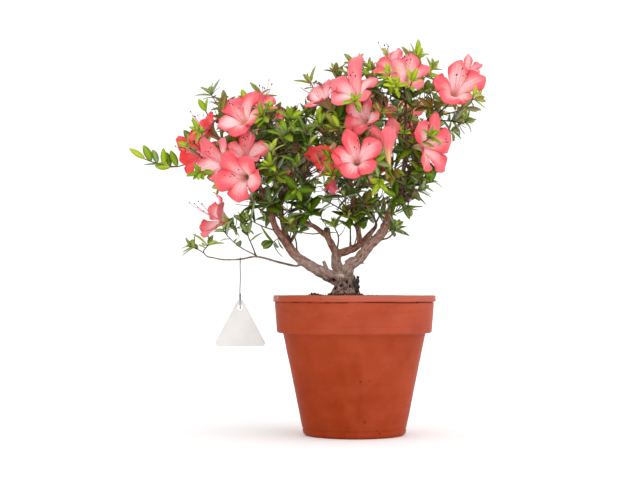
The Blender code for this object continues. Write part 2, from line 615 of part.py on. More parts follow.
class Foliage:
    """All masses: blooms first, then the twigs that reach the ends, then leaves."""

    def __init__(self, wood):
        self.wood = [solid for part in wood.parts.values() for solid in part]
        self.ends = wood.ends
        self.middles = {mass.name: Vector(mass.middle) for mass in MASSES}
        self.blooms = {mass.name: [] for mass in MASSES}
        self.twigs = {mass.name: [] for mass in MASSES}
        self.whorls = {mass.name: [] for mass in MASSES}
        self.taken = {mass.name: [] for mass in MASSES}
        for bloom in BLOOMS:
            solid = self.bloom_solid(bloom)
            self.blooms[bloom.mass].append(solid)
            self.taken[bloom.mass].append(solid)
        for mass in MASSES:
            self.grow(mass, random.Random("twigs of " + mass.name))
        for mass in MASSES:
            self.leaf_out(mass, random.Random("leaves of " + mass.name))

    def solids(self, name):
        """Return the closed shapes that a mass is joined from, its stem first."""
        return self.twigs[name] + self.blooms[name] + [whorl.solid() for whorl in self.whorls[name]]

    def is_clear(self, solid, owner):
        """Tell whether a solid keeps clear of the wood and of every other mass."""
        if any(solid.touches(limb) for limb in self.wood):
            return False
        return not any(solid.touches(other) for name, others in self.taken.items() if name != owner
                       for other in others)

    def in_space(self, place, mass):
        """Tell whether a place is in a mass's rounded space and nearest to its middle."""
        offset = place - self.middles[mass.name]
        if sum((offset[i] / mass.half[i]) ** 2 for i in range(3)) > 1.0:
            return False
        return all((place - middle).length >= offset.length for middle in self.middles.values())

    def bloom_solid(self, bloom):
        """Return a funnel of five rounded lobes on a solid foot.

        Each lobe's rim has a tip, two shoulders and a notch. The outer and the inner
        surface share the rim and part towards the waist, where the wall is thickest.
        """
        axis = Vector(bloom.facing).normalized()
        side, rise = across(axis)
        wide = BLOOM_RADIUS * bloom.spread
        depth = BLOOM_DEPTH * bloom.depth
        lobe = 2.0 * math.pi / PETALS

        def at(lobes, radius, height):
            angle = lobes * lobe
            return Vector(bloom.place) + (rise * math.cos(angle) - side * math.sin(angle)) * radius + axis * height

        foot = [at(k, 1.9, -depth) for k in range(PETALS)]
        outer = [at(k, wide * 0.4, -0.32 * depth) for k in range(PETALS)]
        inner = [at(k, wide * 0.37, -0.32 * depth + 1.0) for k in range(PETALS)]
        rim_shape = ((0.0, 1.0, 0.0), (0.36, 0.8, 0.04), (0.5, 0.46, -0.06), (0.64, 0.8, 0.04))
        rim = [at(k + share, radius * wide, lift * wide) for k in range(PETALS) for share, radius, lift in rim_shape]
        throat = [at(0.0, 0.0, -0.66 * depth)]
        corners = foot + outer + inner + throat + rim
        first_outer, first_inner, bottom, first_rim = PETALS, 2 * PETALS, 3 * PETALS, 3 * PETALS + 1
        triangles = [(0, k, k + 1) for k in range(1, PETALS - 1)]
        for k in range(PETALS):
            after = (k + 1) % PETALS
            triangles += [(k, first_outer + k, after), (after, first_outer + k, first_outer + after)]
            triangles.append((bottom, first_inner + after, first_inner + k))
            edge = [first_rim + 4 * k + j for j in range(4)] + [first_rim + 4 * after]
            for first, outward in ((first_outer, True), (first_inner, False)):
                a, b = first + k, first + after
                fan = [(a, edge[0], edge[1]), (a, edge[1], edge[2]), (a, edge[2], b),
                       (b, edge[2], edge[3]), (b, edge[3], edge[4])]
                triangles += fan if outward else [face[::-1] for face in fan]
        return Solid(corners, triangles, PETAL_SLOT)

    def twig_path(self, start, leaving, end, arriving):
        """Return a curved path that leaves and arrives along given directions."""
        distance = (end - start).length
        first = start + leaving * distance * 0.35
        second = end - arriving * distance * 0.3
        pieces = 2 if distance < SHORT_TWIG else 3
        path = []
        for k in range(pieces + 1):
            t = k / pieces
            path.append(start * (1 - t) ** 3 + first * 3 * t * (1 - t) ** 2
                        + second * 3 * t ** 2 * (1 - t) + end * t ** 3)
        return path

    def targets(self, mass, rng):
        """Return the ends that a mass's twigs must reach: place, facing, and whether it bears a bloom."""
        ends = []
        for bloom in BLOOMS:
            if bloom.mass == mass.name:
                facing = Vector(bloom.facing).normalized()
                foot = Vector(bloom.place) - facing * BLOOM_DEPTH * bloom.depth
                ends.append((foot + facing * BLOOM_FOOT_SINK, facing, True))
        for sprig in SPRIGS:
            if sprig.mass == mass.name:
                ends.append((Vector(sprig.place), Vector(sprig.facing).normalized(), False))
        middle = self.middles[mass.name]
        for _ in range(mass.whorls):
            best, best_room = None, -1.0
            for _ in range(PLACES_TRIED):
                way = Vector([rng.gauss(0.0, 1.0) for _ in range(3)]).normalized()
                way *= rng.uniform(INNER_SHARE, OUTER_SHARE)
                place = middle + Vector([way[i] * mass.half[i] for i in range(3)])
                if not self.in_space(place, mass):
                    continue
                room = min([(place - end[0]).length for end in ends] or [99.0])
                if room > best_room:
                    best, best_room = place, room
            if best is not None:
                facing = ((best - middle).normalized() + UP * 0.45).normalized()
                ends.append((best, facing, False))
        return ends

    def grow(self, mass, rng):
        """Grow a mass's twigs: each end is reached from the node that makes the shortest way."""
        start, direction, radius = self.ends[mass.bearer]
        foot = start + direction * GAP
        middle = self.middles[mass.name]
        stem_end = foot + direction * 6.0 + (middle - foot).normalized() * 5.0
        thick = min(STEM_RADIUS, radius)
        stem = tube([foot, foot + direction * 5.0, stem_end], tapered(thick, thick * 0.85, 3), TWIG_SIDES)
        self.twigs[mass.name].append(stem)
        self.taken[mass.name].append(stem)
        nodes = [(stem_end, (stem_end - foot).normalized(), thick * 0.85, 0.0)]
        ends = sorted(self.targets(mass, rng),
                      key=lambda end: (end[0] - stem_end).length - BLOOM_HEAD_START * end[2])
        for place, facing, bears_bloom in ends:
            turn = rng.uniform(0.0, 2.0)
            cheapest = sorted(nodes, key=lambda node: self.way_cost(node, place))[:NODES_TRIED]
            for origin, heading, thick, length in cheapest:
                leaving = (heading + (place - origin).normalized()).normalized()
                path = self.twig_path(origin - leaving * 0.3, leaving, place, facing)
                tip = min(TWIG_TIP_RADIUS, thick * 0.9)
                radii = tapered(min(TWIG_RADIUS, thick * 0.9), tip, len(path))
                radii[0] = thick * 0.6
                reach = path if bears_bloom else path + [place + facing * HUB_HEIGHT]
                twig = tube(reach, (radii[:-1] + [HUB_RADIUS * 1.3, 0.2])[:len(reach)], TWIG_SIDES, turn)
                blooms = [bloom for bloom in self.blooms[mass.name] if not bloom.holds(place)]
                if self.is_clear(twig, mass.name) and not any(twig.touches(bloom) for bloom in blooms):
                    break
            else:
                continue
            self.taken[mass.name].append(twig)
            if bears_bloom:
                self.twigs[mass.name].append(tube(path, radii, TWIG_SIDES, turn))
            else:
                self.whorls[mass.name].append(Whorl(path, radii, facing, turn, twig))
            for k in range(1, len(path)):
                ahead = (path[k] - path[k - 1]).normalized()
                fork = path[k - 1].lerp(path[k], FORK_SHARE)
                nodes.append((fork, ahead, radii[k], length + (place - origin).length * k / len(path)))

    @staticmethod
    def way_cost(node, place):
        """Return how dear it is to reach a place from a node: the way, the way before it, and the bend."""
        origin, heading, _, length = node
        way = place - origin
        return way.length + LENGTH_COST * length + BEND_COST * (1.0 - way.normalized().dot(heading))

    def leaf_out(self, mass, rng):
        """Set leaves on each whorl's faces, and skip those that would touch a neighbour."""
        for whorl in self.whorls[mass.name]:
            others = [solid for solid in self.taken[mass.name] if solid is not whorl.reach]
            for k in range(LEAVES_IN_WHORL):
                length = LEAF_LENGTH * rng.uniform(0.75, 1.05)
                leaf = whorl.leaf(k, math.radians(rng.uniform(40.0, 72.0)), length)
                blade = whorl.blade_solid(leaf, 0.14)
                if any(blade.touches(other) for other in others):
                    continue
                if self.is_clear(whorl.blade_solid(leaf, 0.0), mass.name):
                    self.taken[mass.name].append(blade)
                    others.append(blade)
                    whorl.leaves[k] = leaf[3:]


class Whorl:
    """A three-sided twig that ends in a hub with one leaf on each of its faces."""

    BLADE = ((0, 1, 4), (0, 4, 3), (1, 2, 5), (1, 5, 4), (2, 0, 3), (2, 3, 5), (3, 4, 6), (4, 5, 6), (5, 3, 6))

    def __init__(self, path, radii, facing, turn, reach):
        self.path = path
        self.reach = reach
        self.radii = radii
        self.turn = turn
        self.facing = (path[-1] - path[-2]).normalized().lerp(facing, 0.5).normalized()
        self.leaves = {}
        self.body = tube(path, radii, TWIG_SIDES, turn)
        last = TWIG_SIDES * (len(path) - 1)
        self.start_ring = self.body.corners[last:]
        side = (self.start_ring[0] - path[-1])
        self.side = (side - self.facing * side.dot(self.facing)).normalized()
        self.rise = self.side.cross(self.facing)
        self.ring = [path[-1] + (self.side * math.cos(a) + self.rise * math.sin(a)) * HUB_RADIUS
                     for a in (2.0 * math.pi * k / LEAVES_IN_WHORL for k in range(LEAVES_IN_WHORL))]
        self.top = path[-1] + self.facing * HUB_HEIGHT

    def leaf(self, k, tilt, length):
        """Return a leaf's corners: its root on the hub, two edges and a ridge, and its tip."""
        root = (self.ring[(k + 1) % LEAVES_IN_WHORL], self.ring[k], self.top)
        middle_turn = 2.0 * math.pi * (k + 0.5) / LEAVES_IN_WHORL
        outward = self.side * math.cos(middle_turn) + self.rise * math.sin(middle_turn)
        along = (self.facing * math.cos(tilt) + outward * math.sin(tilt)).normalized()
        above = (self.facing * math.sin(tilt) - outward * math.cos(tilt)).normalized()
        edge = (root[1] - root[0]).normalized() * LEAF_WIDTH * 0.5 * length / LEAF_LENGTH
        foot = (root[0] + root[1] + root[2]) / 3.0
        middle = foot + along * length * 0.5
        tip = foot + along * length - above * length * 0.06
        return [*root, middle - edge, middle + edge, middle + above * LEAF_THICKNESS, tip]

    def blade_solid(self, leaf, bare):
        """Return a leaf by itself, less a share of its foot, to test where it reaches."""
        foot = [corner.lerp(leaf[6], bare) for corner in leaf[:3]]
        return Solid(foot + leaf[3:], [(0, 2, 1), *self.BLADE], LEAF_SLOT)

    def solid(self):
        """Return the twig, its hub and its leaves as one closed shape."""
        kept = TWIG_SIDES * (len(self.path) - 1)
        corners = self.body.corners[:kept] + self.ring + [self.top]
        low = kept - TWIG_SIDES
        triangles = [face for face in self.body.triangles if max(face) < kept]
        twig_triangles = len(triangles)
        i = j = 0
        while i < TWIG_SIDES or j < LEAVES_IN_WHORL:
            a, b = low + i % TWIG_SIDES, kept + j % LEAVES_IN_WHORL
            if j * TWIG_SIDES < i * LEAVES_IN_WHORL or i == TWIG_SIDES:
                j += 1
                triangles.append((a, b, kept + j % LEAVES_IN_WHORL))
            else:
                i += 1
                triangles.append((a, b, low + i % TWIG_SIDES))
        top = kept + LEAVES_IN_WHORL
        for k in range(LEAVES_IN_WHORL):
            root = (kept + (k + 1) % LEAVES_IN_WHORL, kept + k, top)
            if k not in self.leaves:
                triangles.append(root)
                continue
            names = [*root, *range(len(corners), len(corners) + 4)]
            corners = corners + self.leaves[k]
            triangles += [tuple(names[n] for n in face) for face in self.BLADE]
        return Solid(corners, triangles, LEAF_SLOT, twig_triangles)


def make_pot(material):
    """Make the pot: a turned wall with a rounded foot, a collar and a lip, and drain holes."""
    collar_foot = POT_HEIGHT - COLLAR_HEIGHT
    lip_foot = POT_HEIGHT - LIP_HEIGHT
    inner_top = COLLAR_RADIUS_HIGH - WALL
    inner_collar = COLLAR_RADIUS_LOW - WALL
    inner_body = POT_BODY_RADIUS - WALL
    inner_base = POT_BASE_RADIUS - WALL + 1.5
    profile = [
        (0.0, 0.0), (POT_BASE_RADIUS - 2.5, 0.0), (POT_BASE_RADIUS - 0.6, 0.8), (POT_BASE_RADIUS, 2.6),
        (POT_BASE_RADIUS + 0.6, POT_FOOT_LINE), (POT_BODY_RADIUS, collar_foot), (COLLAR_RADIUS_LOW - 1.0, collar_foot),
        (COLLAR_RADIUS_LOW, collar_foot + 1.2), (COLLAR_RADIUS_HIGH, lip_foot), (LIP_RADIUS, lip_foot + 0.8),
        (LIP_RADIUS, POT_HEIGHT - 1.4), (LIP_RADIUS - 1.6, POT_HEIGHT), (inner_top + 1.4, POT_HEIGHT),
        (inner_top, POT_HEIGHT - 1.6), (inner_collar, collar_foot + 4.0), (inner_body, collar_foot - 6.0),
        (inner_base, FLOOR_THICKNESS), (0.0, FLOOR_THICKNESS),
    ]
    corners, faces = turned(profile, POT_SIDES)
    pot = mesh_object("pot", corners, faces, [material])
    cutters = []
    for k in range(DRAIN_HOLES):
        turn = 2.0 * math.pi * (k + 0.25) / DRAIN_HOLES
        centre = (DRAIN_RING_RADIUS * math.cos(turn), DRAIN_RING_RADIUS * math.sin(turn))
        hole = [(0.0, -5.0), (DRAIN_RADIUS, -5.0), (DRAIN_RADIUS, FLOOR_THICKNESS + 5.0), (0.0, FLOOR_THICKNESS + 5.0)]
        cutters.append(mesh_object(f"drain_{k}", *turned(hole, 12, centre), [material]))
    combined(pot, cutters, "DIFFERENCE")
    smooth_shaded(pot)


def make_soil(material):
    """Make the soil: it follows the pot's inside a gap away and mounds up to the trunk's seat."""
    collar_foot = POT_HEIGHT - COLLAR_HEIGHT
    inner_top = COLLAR_RADIUS_HIGH - WALL - GAP
    inner_collar = COLLAR_RADIUS_LOW - WALL - GAP
    inner_body = POT_BODY_RADIUS - WALL - GAP
    inner_base = POT_BASE_RADIUS - WALL + 1.5 - GAP
    edge = POT_HEIGHT - SOIL_EDGE_DROP
    slope = (inner_top - inner_collar) / (POT_HEIGHT - 1.6 - collar_foot - 4.0)
    edge_radius = inner_collar + slope * (edge - collar_foot - 4.0)
    rings = [(inner_base, FLOOR_THICKNESS + GAP), (inner_body, collar_foot - 6.0), (inner_collar, collar_foot + 4.0),
             (edge_radius, edge)]
    mound = ((67.0, 2.5), (48.0, 6.5), (32.0, 8.3), (SEAT_RADIUS, None))
    profile = [(0.0, FLOOR_THICKNESS + GAP)] + rings
    profile += [(radius, SEAT_HEIGHT if lift is None else edge + lift) for radius, lift in mound]
    profile.append((0.0, SEAT_HEIGHT))
    corners, faces = turned(profile, POT_SIDES)
    first = 1 + len(rings) * POT_SIDES
    for index, (radius, lift) in enumerate(mound):
        share = 1.0 - (radius - SEAT_RADIUS) / (edge_radius - SEAT_RADIUS)
        for k in range(POT_SIDES):
            corner = corners[first + index * POT_SIDES + k]
            corner.x += TRUNK_FOOT.x * share
            corner.y += TRUNK_FOOT.y * share
            if lift is not None:
                corner.z += 0.9 * math.sin(corner.x * 0.31 + 1.0) * math.cos(corner.y * 0.27)
    corners[-1].x += TRUNK_FOOT.x
    corners[-1].y += TRUNK_FOOT.y
    soil = mesh_object("soil", corners, faces, [material])
    smooth_shaded(soil)


def make_wood(wood, bark, young_bark):
    """Make one object for the trunk and for each limb, its collars and spurs joined on."""
    for name, solids in wood.parts.items():
        material = young_bark if name in ("tag_twig", "bough_left_inner", "bough_centre") else bark
        objects = [mesh_object(name if k == 0 else f"{name}_{k}", solid.corners, solid.triangles, [material])
                   for k, solid in enumerate(solids)]
        combined(objects[0], objects[1:], "UNION")
        keep_largest_body(objects[0])
        smooth_shaded(objects[0], 50.0)


def make_foliage(foliage, materials):
    """Make one object for each mass, its twigs, leaves and blooms joined."""
    for mass in MASSES:
        name = mass.name
        objects = []
        for k, solid in enumerate(foliage.solids(name)):
            label = f"foliage_{name}" if k == 0 else f"{name}_{k}"
            objects.append(mesh_object(label, solid.corners, solid.triangles, materials, solid.slots))
        combined(objects[0], objects[1:], "UNION")
        keep_largest_body(objects[0])


def rounded_triangle(radius, arc_steps=4):
    """Return the tag's outline round its middle line, apex up, with arcs at its corners."""
    half = TAG_SIDE_LENGTH / 2.0
    flank = math.atan2(TAG_TALL, half)
    apex_half = math.pi / 2.0 - flank
    low_centre = half - radius / math.tan(flank / 2.0)
    centres = ((low_centre, radius), (0.0, TAG_TALL - radius / math.sin(apex_half)), (-low_centre, radius))
    turns = ((-math.pi / 2.0, apex_half), (apex_half, math.pi - apex_half), (math.pi - apex_half, 1.5 * math.pi))
    outline = []
    for (x, z), (first, last) in zip(centres, turns):
        for k in range(arc_steps + 1):
            turn = first + (last - first) * k / arc_steps
            outline.append((x + radius * math.cos(turn), z + radius * math.sin(turn)))
    return outline


def make_tag(material):
    """Make the tag: a rounded triangle, bare on both sides, with a hole under its apex."""
    outline = rounded_triangle(TAG_CORNER_RADIUS)
    top = max(z for _, z in outline)
    count = len(outline)
    half = TAG_THICKNESS / 2.0
    corners = [Vector((TAG_X + x, TAG_Y - half, TAG_TOP - top + z)) for x, z in outline]
    corners += [Vector((TAG_X + x, TAG_Y + half, TAG_TOP - top + z)) for x, z in outline]
    faces = [tuple(range(count)), tuple(range(2 * count - 1, count - 1, -1))]
    faces += [(k, k + count, (k + 1) % count + count, (k + 1) % count) for k in range(count)]
    tag = mesh_object("tag", corners, faces, [material])
    hole_middle = Vector((TAG_X, TAG_Y, TAG_TOP - TAG_HOLE_BELOW_TOP))
    path = [hole_middle - Vector((0.0, 3.0, 0.0)), hole_middle + Vector((0.0, 3.0, 0.0))]
    cutter = tube(path, [TAG_HOLE_RADIUS] * 2, 14)
    combined(tag, [mesh_object("tag_hole", cutter.corners, cutter.triangles, [material])], "DIFFERENCE")


def arc(centre, radius, first, last, steps):
    """Return points of an arc in the plane across X; a turn of 0 points to -Y and a quarter turn up."""
    points = []
    for k in range(steps + 1):
        turn = math.radians(first + (last - first) * k / steps)
        points.append(Vector((TAG_X, centre[0] - radius * math.cos(turn), centre[1] + radius * math.sin(turn))))
    return points


def make_wire(wood, material):
    """Make the wire: a hook over the twig, a straight drop, and a hook through the tag's hole."""
    path, radii = wood.paths["tag_twig"]
    nearest = min(range(1, len(path) - 1), key=lambda k: abs(path[k].x - TAG_X))
    twig = path[nearest]
    top_radius = radii[nearest] + GAP + WIRE_RADIUS + 0.2
    hole_z = TAG_TOP - TAG_HOLE_BELOW_TOP
    low_radius = TAG_THICKNESS / 2.0 + GAP + WIRE_RADIUS + 0.6
    low_centre = (TAG_Y, hole_z)
    drop_y = TAG_Y - low_radius
    upper = arc((twig.y, twig.z), top_radius, 190.0, 0.0, 7)
    lower = arc(low_centre, low_radius, 0.0, -180.0, 6)
    upper.insert(0, upper[0] - Vector((0.0, 0.0, 4.0)))
    lower.append(lower[-1] + Vector((0.0, 0.0, 2.5)))
    straight = [Vector((TAG_X, drop_y, twig.z - 8.0)), Vector((TAG_X, drop_y, hole_z + 16.0)),
                Vector((TAG_X, drop_y, hole_z + 6.0))]
    points = upper + straight + lower
    solid = tube(points, [WIRE_RADIUS] * len(points), WIRE_SIDES)
    wire = mesh_object("tag_wire", solid.corners, solid.triangles, [material])
    smooth_shaded(wire, 60.0)


def main():
    """Build every part."""
    clear_scene()
    terracotta = finish("terracotta", (0.48, 0.13, 0.06), 0.75)
    earth = finish("soil", (0.09, 0.06, 0.04), 0.95)
    bark = finish("bark", (0.23, 0.17, 0.13), 0.85)
    young_bark = finish("young_bark", (0.22, 0.11, 0.08), 0.8)
    leaf = finish("leaf", (0.12, 0.26, 0.04), 0.5)
    petal = finish("petal", (0.90, 0.20, 0.20), 0.5)
    plastic = finish("tag_plastic", (0.82, 0.82, 0.80), 0.4)
    dark_wire = finish("wire", (0.12, 0.12, 0.12), 0.5)
    make_pot(terracotta)
    make_soil(earth)
    wood = Wood()
    make_wood(wood, bark, young_bark)
    make_foliage(Foliage(wood), [leaf, petal, young_bark])
    make_tag(plastic)
    make_wire(wood, dark_wire)


main()
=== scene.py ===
"""The looks of a bonsai azalea in flower, in a terracotta pot, with a small tag hung from a twig.

The trunk and boughs are tubes carried along smooth curves, melted into one skin
and given the relief of bark.  From their ends the crown grows by a seeded rule:
twigs reach for blooms, for sprigs on the outline and for whorls inside, and then
for many finer ends, each with a spray of leaves.  Every bloom is a funnel of five
lobes with stamens.  The pot, the soil, the tag and its wire are made afresh too.

Sizes and places are in millimetres, and turn to metres when a mesh is made.  +Z is
up, the front faces -Y, and the origin is on the ground at the pot's axis.
"""

import functools
import itertools
import logging
import math
import random
from dataclasses import dataclass, field
from enum import Enum
from typing import Iterable, NamedTuple, Sequence

import bpy
import numpy as np
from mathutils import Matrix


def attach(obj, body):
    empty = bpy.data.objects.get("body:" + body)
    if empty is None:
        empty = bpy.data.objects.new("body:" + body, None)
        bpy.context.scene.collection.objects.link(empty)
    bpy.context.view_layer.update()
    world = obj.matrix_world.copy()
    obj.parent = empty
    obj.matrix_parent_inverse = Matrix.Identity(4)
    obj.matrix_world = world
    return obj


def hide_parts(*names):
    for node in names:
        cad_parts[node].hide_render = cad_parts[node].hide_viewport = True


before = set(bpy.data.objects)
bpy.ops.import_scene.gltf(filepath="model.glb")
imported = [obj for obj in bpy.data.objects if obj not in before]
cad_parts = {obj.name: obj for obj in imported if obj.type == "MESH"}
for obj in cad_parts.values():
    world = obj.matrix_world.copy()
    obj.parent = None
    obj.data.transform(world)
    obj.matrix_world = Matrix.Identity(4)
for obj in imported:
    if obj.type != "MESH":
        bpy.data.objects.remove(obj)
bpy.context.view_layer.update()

MM = 0.001
TURN = 2.0 * math.pi
UP = np.array((0.0, 0.0, 1.0))
ALONG_X = np.array((1.0, 0.0, 0.0))
BODY = "root"
MAP_NAME = "OFBake"
LATTICE = 32
LOG = logging.getLogger("azalea")

# Sizes that more than one sub-assembly reads
TRUNK_FOOT = np.array((-10.5, 1.0, 159.2))
BLOOM_RADIUS = 25.5
BLOOM_DEPTH = 30.0
BLOOM_AHEAD = 22.0
BLOOM_VIEW = 90.0
LEAF_LENGTH = 20.5


class Tint(Enum):
    """The greens and autumn shades that sprays of leaves take, and a grey-green that is painted sheen: name,
    upper side and underside.
    """

    LIME = ("lime", "#BFCF2E", "#C5CC69")
    FRESH = ("fresh", "#A5C024", "#B0BF59")
    MID = ("mid", "#89A91E", "#96A754")
    DARK = ("dark", "#5A7C07", "#728B38")
    # A grey-green that paints the pale sheen that glossy leaves show in white light.
    GREY = ("grey", "#86A255", "#A8B68E")
    OLIVE = ("olive", "#93822A", "#A3935C")
    BRONZE = ("bronze", "#8A6430", "#A08A5C")


class Flush(Enum):
    """The shades that blooms take: name, lobes, throat, margin and tube."""

    CORAL = ("coral", "#F55D67", "#FFDCDC", "#EA3645", "#F3DDA4")
    SALMON = ("salmon", "#F6757E", "#FFE6E4", "#EE4C5A", "#F1D38C")
    # A deeper red: partly the blooms' own colour, partly painted shade.
    RED = ("red", "#F2383A", "#F78E90", "#DE262C", "#EBBE90")
    FADED = ("faded", "#E0576A", "#EFC0C2", "#BE3A50", "#D8B98C")


class Form(Enum):
    """How a bloom is open: (share of its radius, share of its depth) from foot to lobe tips."""

    OPEN = ((0.06, 0.0), (0.12, 0.3), (0.24, 0.58), (0.45, 0.82), (0.74, 0.97), (1.0, 1.0))
    WIDE = ((0.06, 0.0), (0.12, 0.32), (0.25, 0.6), (0.46, 0.84), (0.76, 0.97), (1.0, 0.92))
    TRUMPET = ((0.07, 0.0), (0.13, 0.26), (0.27, 0.52), (0.5, 0.76), (0.78, 0.93), (1.0, 1.0))
    CUP = ((0.1, 0.0), (0.19, 0.22), (0.42, 0.47), (0.72, 0.68), (0.93, 0.87), (1.0, 1.0))
    BUD = ((0.15, 0.0), (0.36, 0.28), (0.5, 0.52), (0.4, 0.8), (0.08, 1.02))


class Kind(Enum):
    """What a spray is: its fewest and most outer leaves, fewest and most inner ones, and lower ones."""

    HAND = (5, 7, 3, 5, 4)
    FRONT = (4, 5, 2, 3, 2)
    GROWN = (4, 6, 1, 3, 3)
    BLOOM = (4, 5, 0, 0, 2)
    SHOOT = (3, 4, 0, 2, 1)
    COMB = (0, 0, 2, 3, 5)


def unit(vectors: Sequence) -> np.ndarray:
    """Return vectors at length one, along the last axis."""
    vectors = np.asarray(vectors, float)
    return vectors / np.maximum(np.linalg.norm(vectors, axis=-1, keepdims=True), 1e-9)


def square_to(ahead: np.ndarray, vectors: np.ndarray) -> np.ndarray:
    """Return vectors turned square to unit ways ahead, at length one."""
    return unit(vectors - ahead * np.sum(vectors * ahead, axis=-1, keepdims=True))


def beside(way: np.ndarray, steep: float = 0.9) -> np.ndarray:
    """Return the level way to the side of a way, or one square to X where it is steep."""
    return unit(np.cross(way, UP if abs(way[2]) < steep else ALONG_X))


def ease(low: float, high: float, value: np.ndarray) -> np.ndarray:
    """Return 0 below low, 1 above high, and 3x^2 - 2x^3 of the share between."""
    share = np.clip((np.asarray(value, float) - low) / (high - low), 0.0, 1.0)
    return share * share * (3.0 - 2.0 * share)


@dataclass(frozen=True)
class Limb:
    """A tapering limb that starts inside the limb that bears it."""

    name: str
    points: tuple
    root_radius: float
    tip_radius: float


@dataclass(frozen=True)
class Spur:
    """A short side stub on a limb, at a distance along it; a bent one runs through its own points."""

    name: str
    limb: str
    reach: float
    direction: tuple
    length: float
    radius: float
    bent: tuple = ()


@dataclass(frozen=True)
class Mass:
    """A mass of foliage: what bears it, its space, its whorls and how open it is."""

    name: str
    bearer: str
    middle: tuple
    half: tuple
    whorls: int
    openness: float = 1.0

    def holds(self, places: np.ndarray) -> np.ndarray:
        """Tell which places lie in the mass's rounded space and nearer to its middle than to others.

        Args:
            places: the places.
        Returns:
            yes or no for each place.
        """
        inside = np.sum(((places - np.array(self.middle)) / np.array(self.half)) ** 2, axis=1) <= 1.0
        gaps = np.linalg.norm(places - np.array([mass.middle for mass in MASSES], float)[:, None], axis=2)
        return inside & (gaps[MASSES.index(self)] <= gaps.min(axis=0) + 1e-6)


@dataclass(frozen=True)
class Bloom:
    """A bloom whose mouth is at a place and faces a direction."""

    place: tuple
    facing: tuple
    spread: float = 1.0
    depth: float = 1.0
    flush: Flush = Flush.CORAL
    form: Form = Form.OPEN
    roll: float = 0.0
    first_lobe: float = 1.0
    stamens: bool = True

    @property
    def wide(self) -> float:
        """Return the radius of the mouth."""
        return BLOOM_RADIUS * self.spread

    @property
    def deep(self) -> float:
        """Return the depth from mouth to foot."""
        return BLOOM_DEPTH * self.depth

    @property
    def axis(self) -> np.ndarray:
        """Return the way that the mouth faces."""
        return unit(self.facing)

    @property
    def foot(self) -> np.ndarray:
        """Return where the tube starts."""
        return np.array(self.place, float) - self.axis * BLOOM_DEPTH * self.depth

    def axes(self) -> tuple[np.ndarray, np.ndarray, np.ndarray]:
        """Return the axis, and the sideways and upwards ways across the mouth."""
        side = beside(self.axis, 0.95)
        return self.axis, side, np.cross(side, self.axis)

    def holds(self, points: np.ndarray, margin: float) -> np.ndarray:
        """Tell which points lie in the funnel, or a short way before its mouth.

        Args:
            points: the places.
            margin: how much wider than the funnel its room is.
        Returns:
            yes or no for each place.
        """
        offset = points - np.array(self.place, float)
        height = offset @ self.axis
        aside = np.linalg.norm(offset - height[..., None] * self.axis, axis=-1)
        shape = np.array(self.form.value)
        rim = np.interp(height, shape[:5, 1] * self.deep - self.deep, shape[:5, 0] * self.wide)
        rim = np.where(height > -2.0, self.wide * 0.9, rim)
        return (height > -0.85 * self.deep) & (height < BLOOM_AHEAD) & (aside < rim + margin)

    def hidden_by(self, points: np.ndarray, share: float) -> np.ndarray:
        """Tell which points stand before the mouth, seen from the bloom's own side of the plant.

        Args:
            points: the places.
            share: the share of the radius that stays clear.
        Returns:
            yes or no for each place.
        """
        x, y, z = self.place
        if abs(y) < 20.0:
            return np.zeros(points.shape[:-1], bool)
        before = (points[..., 1] - y) * (-1.0 if y < 30.0 else 1.0)
        aside = np.hypot(points[..., 0] - x, points[..., 2] - z)
        return (before > -4.0) & (before < BLOOM_VIEW) & (aside < self.wide * share)


@dataclass(frozen=True)
class Sprig:
    """A spray of leaves set one by one, for the crown's outline."""

    place: tuple
    facing: tuple
    kind: Kind = Kind.HAND


@dataclass(frozen=True)
class Laid:
    """A thin twig laid through listed points: its points, its thickness at root and tip, and the spray at its
    end.
    """

    points: tuple
    root: float
    tip: float
    kind: Kind


LIMBS = (
    Limb("bough_left",
         ((-10, 1, 170), (-26, 0, 176.5), (-44.5, -3, 186), (-63, -6, 197.6), (-73, -8, 209)), 7.2, 4.8),
    Limb("bough_left_outer",
         ((-73, -8, 209), (-84.7, -12, 224.8), (-91.7, -13, 240.6), (-97.4, -12, 259.3),
          (-104.6, -8, 273.5), (-112, -3, 295), (-118, -2, 315)), 4.2, 2.0),
    Limb("bough_left_inner",
         ((-69, -7, 204), (-77.4, 2, 224.8), (-81, 5, 240), (-83.1, 8, 256.3), (-83, 8, 280),
          (-80, 6, 300)), 3.8, 1.9),
    Limb("bough_middle", ((-9, 3, 172), (-16, 9, 182), (-20, 11, 193), (-20, 12, 204)), 7.2, 5.4),
    Limb("bough_middle_left", ((-20, 12, 203), (-25, 12, 212), (-30, 10, 223.5), (-30.7, 9, 232)), 4.4, 3.5),
    Limb("branch_left_low", ((-29, 10.3, 221), (-36, 8, 226.5), (-46.5, 5, 234.2), (-63, -2, 242)), 3.1, 1.9),
    Limb("bough_middle_right",
         ((-20, 12, 202), (-8, 14, 206), (3, 14, 210.4), (13, 14, 219), (22, 17, 230)), 4.9, 2.8),
    Limb("bough_centre",
         ((7, 14, 213.5), (5, 10, 228), (1, 4, 250), (-4, -1, 285), (-8, -3, 325)), 3.2, 1.8),
    Limb("bough_right",
         ((-9, -2, 172), (-7.5, -6, 184), (-3, -7, 191), (5, -8, 196), (15.9, -9, 210.4),
          (30.3, -10, 224.8), (34.5, -10, 234)), 6.6, 5.0),
    Limb("bough_right_top",
         ((29, -10, 223.5), (38, -8, 244), (45.8, -8, 265), (53, -8, 285), (58, -6, 320),
          (58, -4, 366)), 3.7, 1.9),
    Limb("tag_twig",
         ((-58, -5, 195), (-64, -7, 188.6), (-82.9, -9, 192.2), (-108.8, -8, 198.7), (-128, -6, 196),
          (-146.2, -6, 195.5), (-160.4, -6, 198.1)), 1.45, 0.8),
)

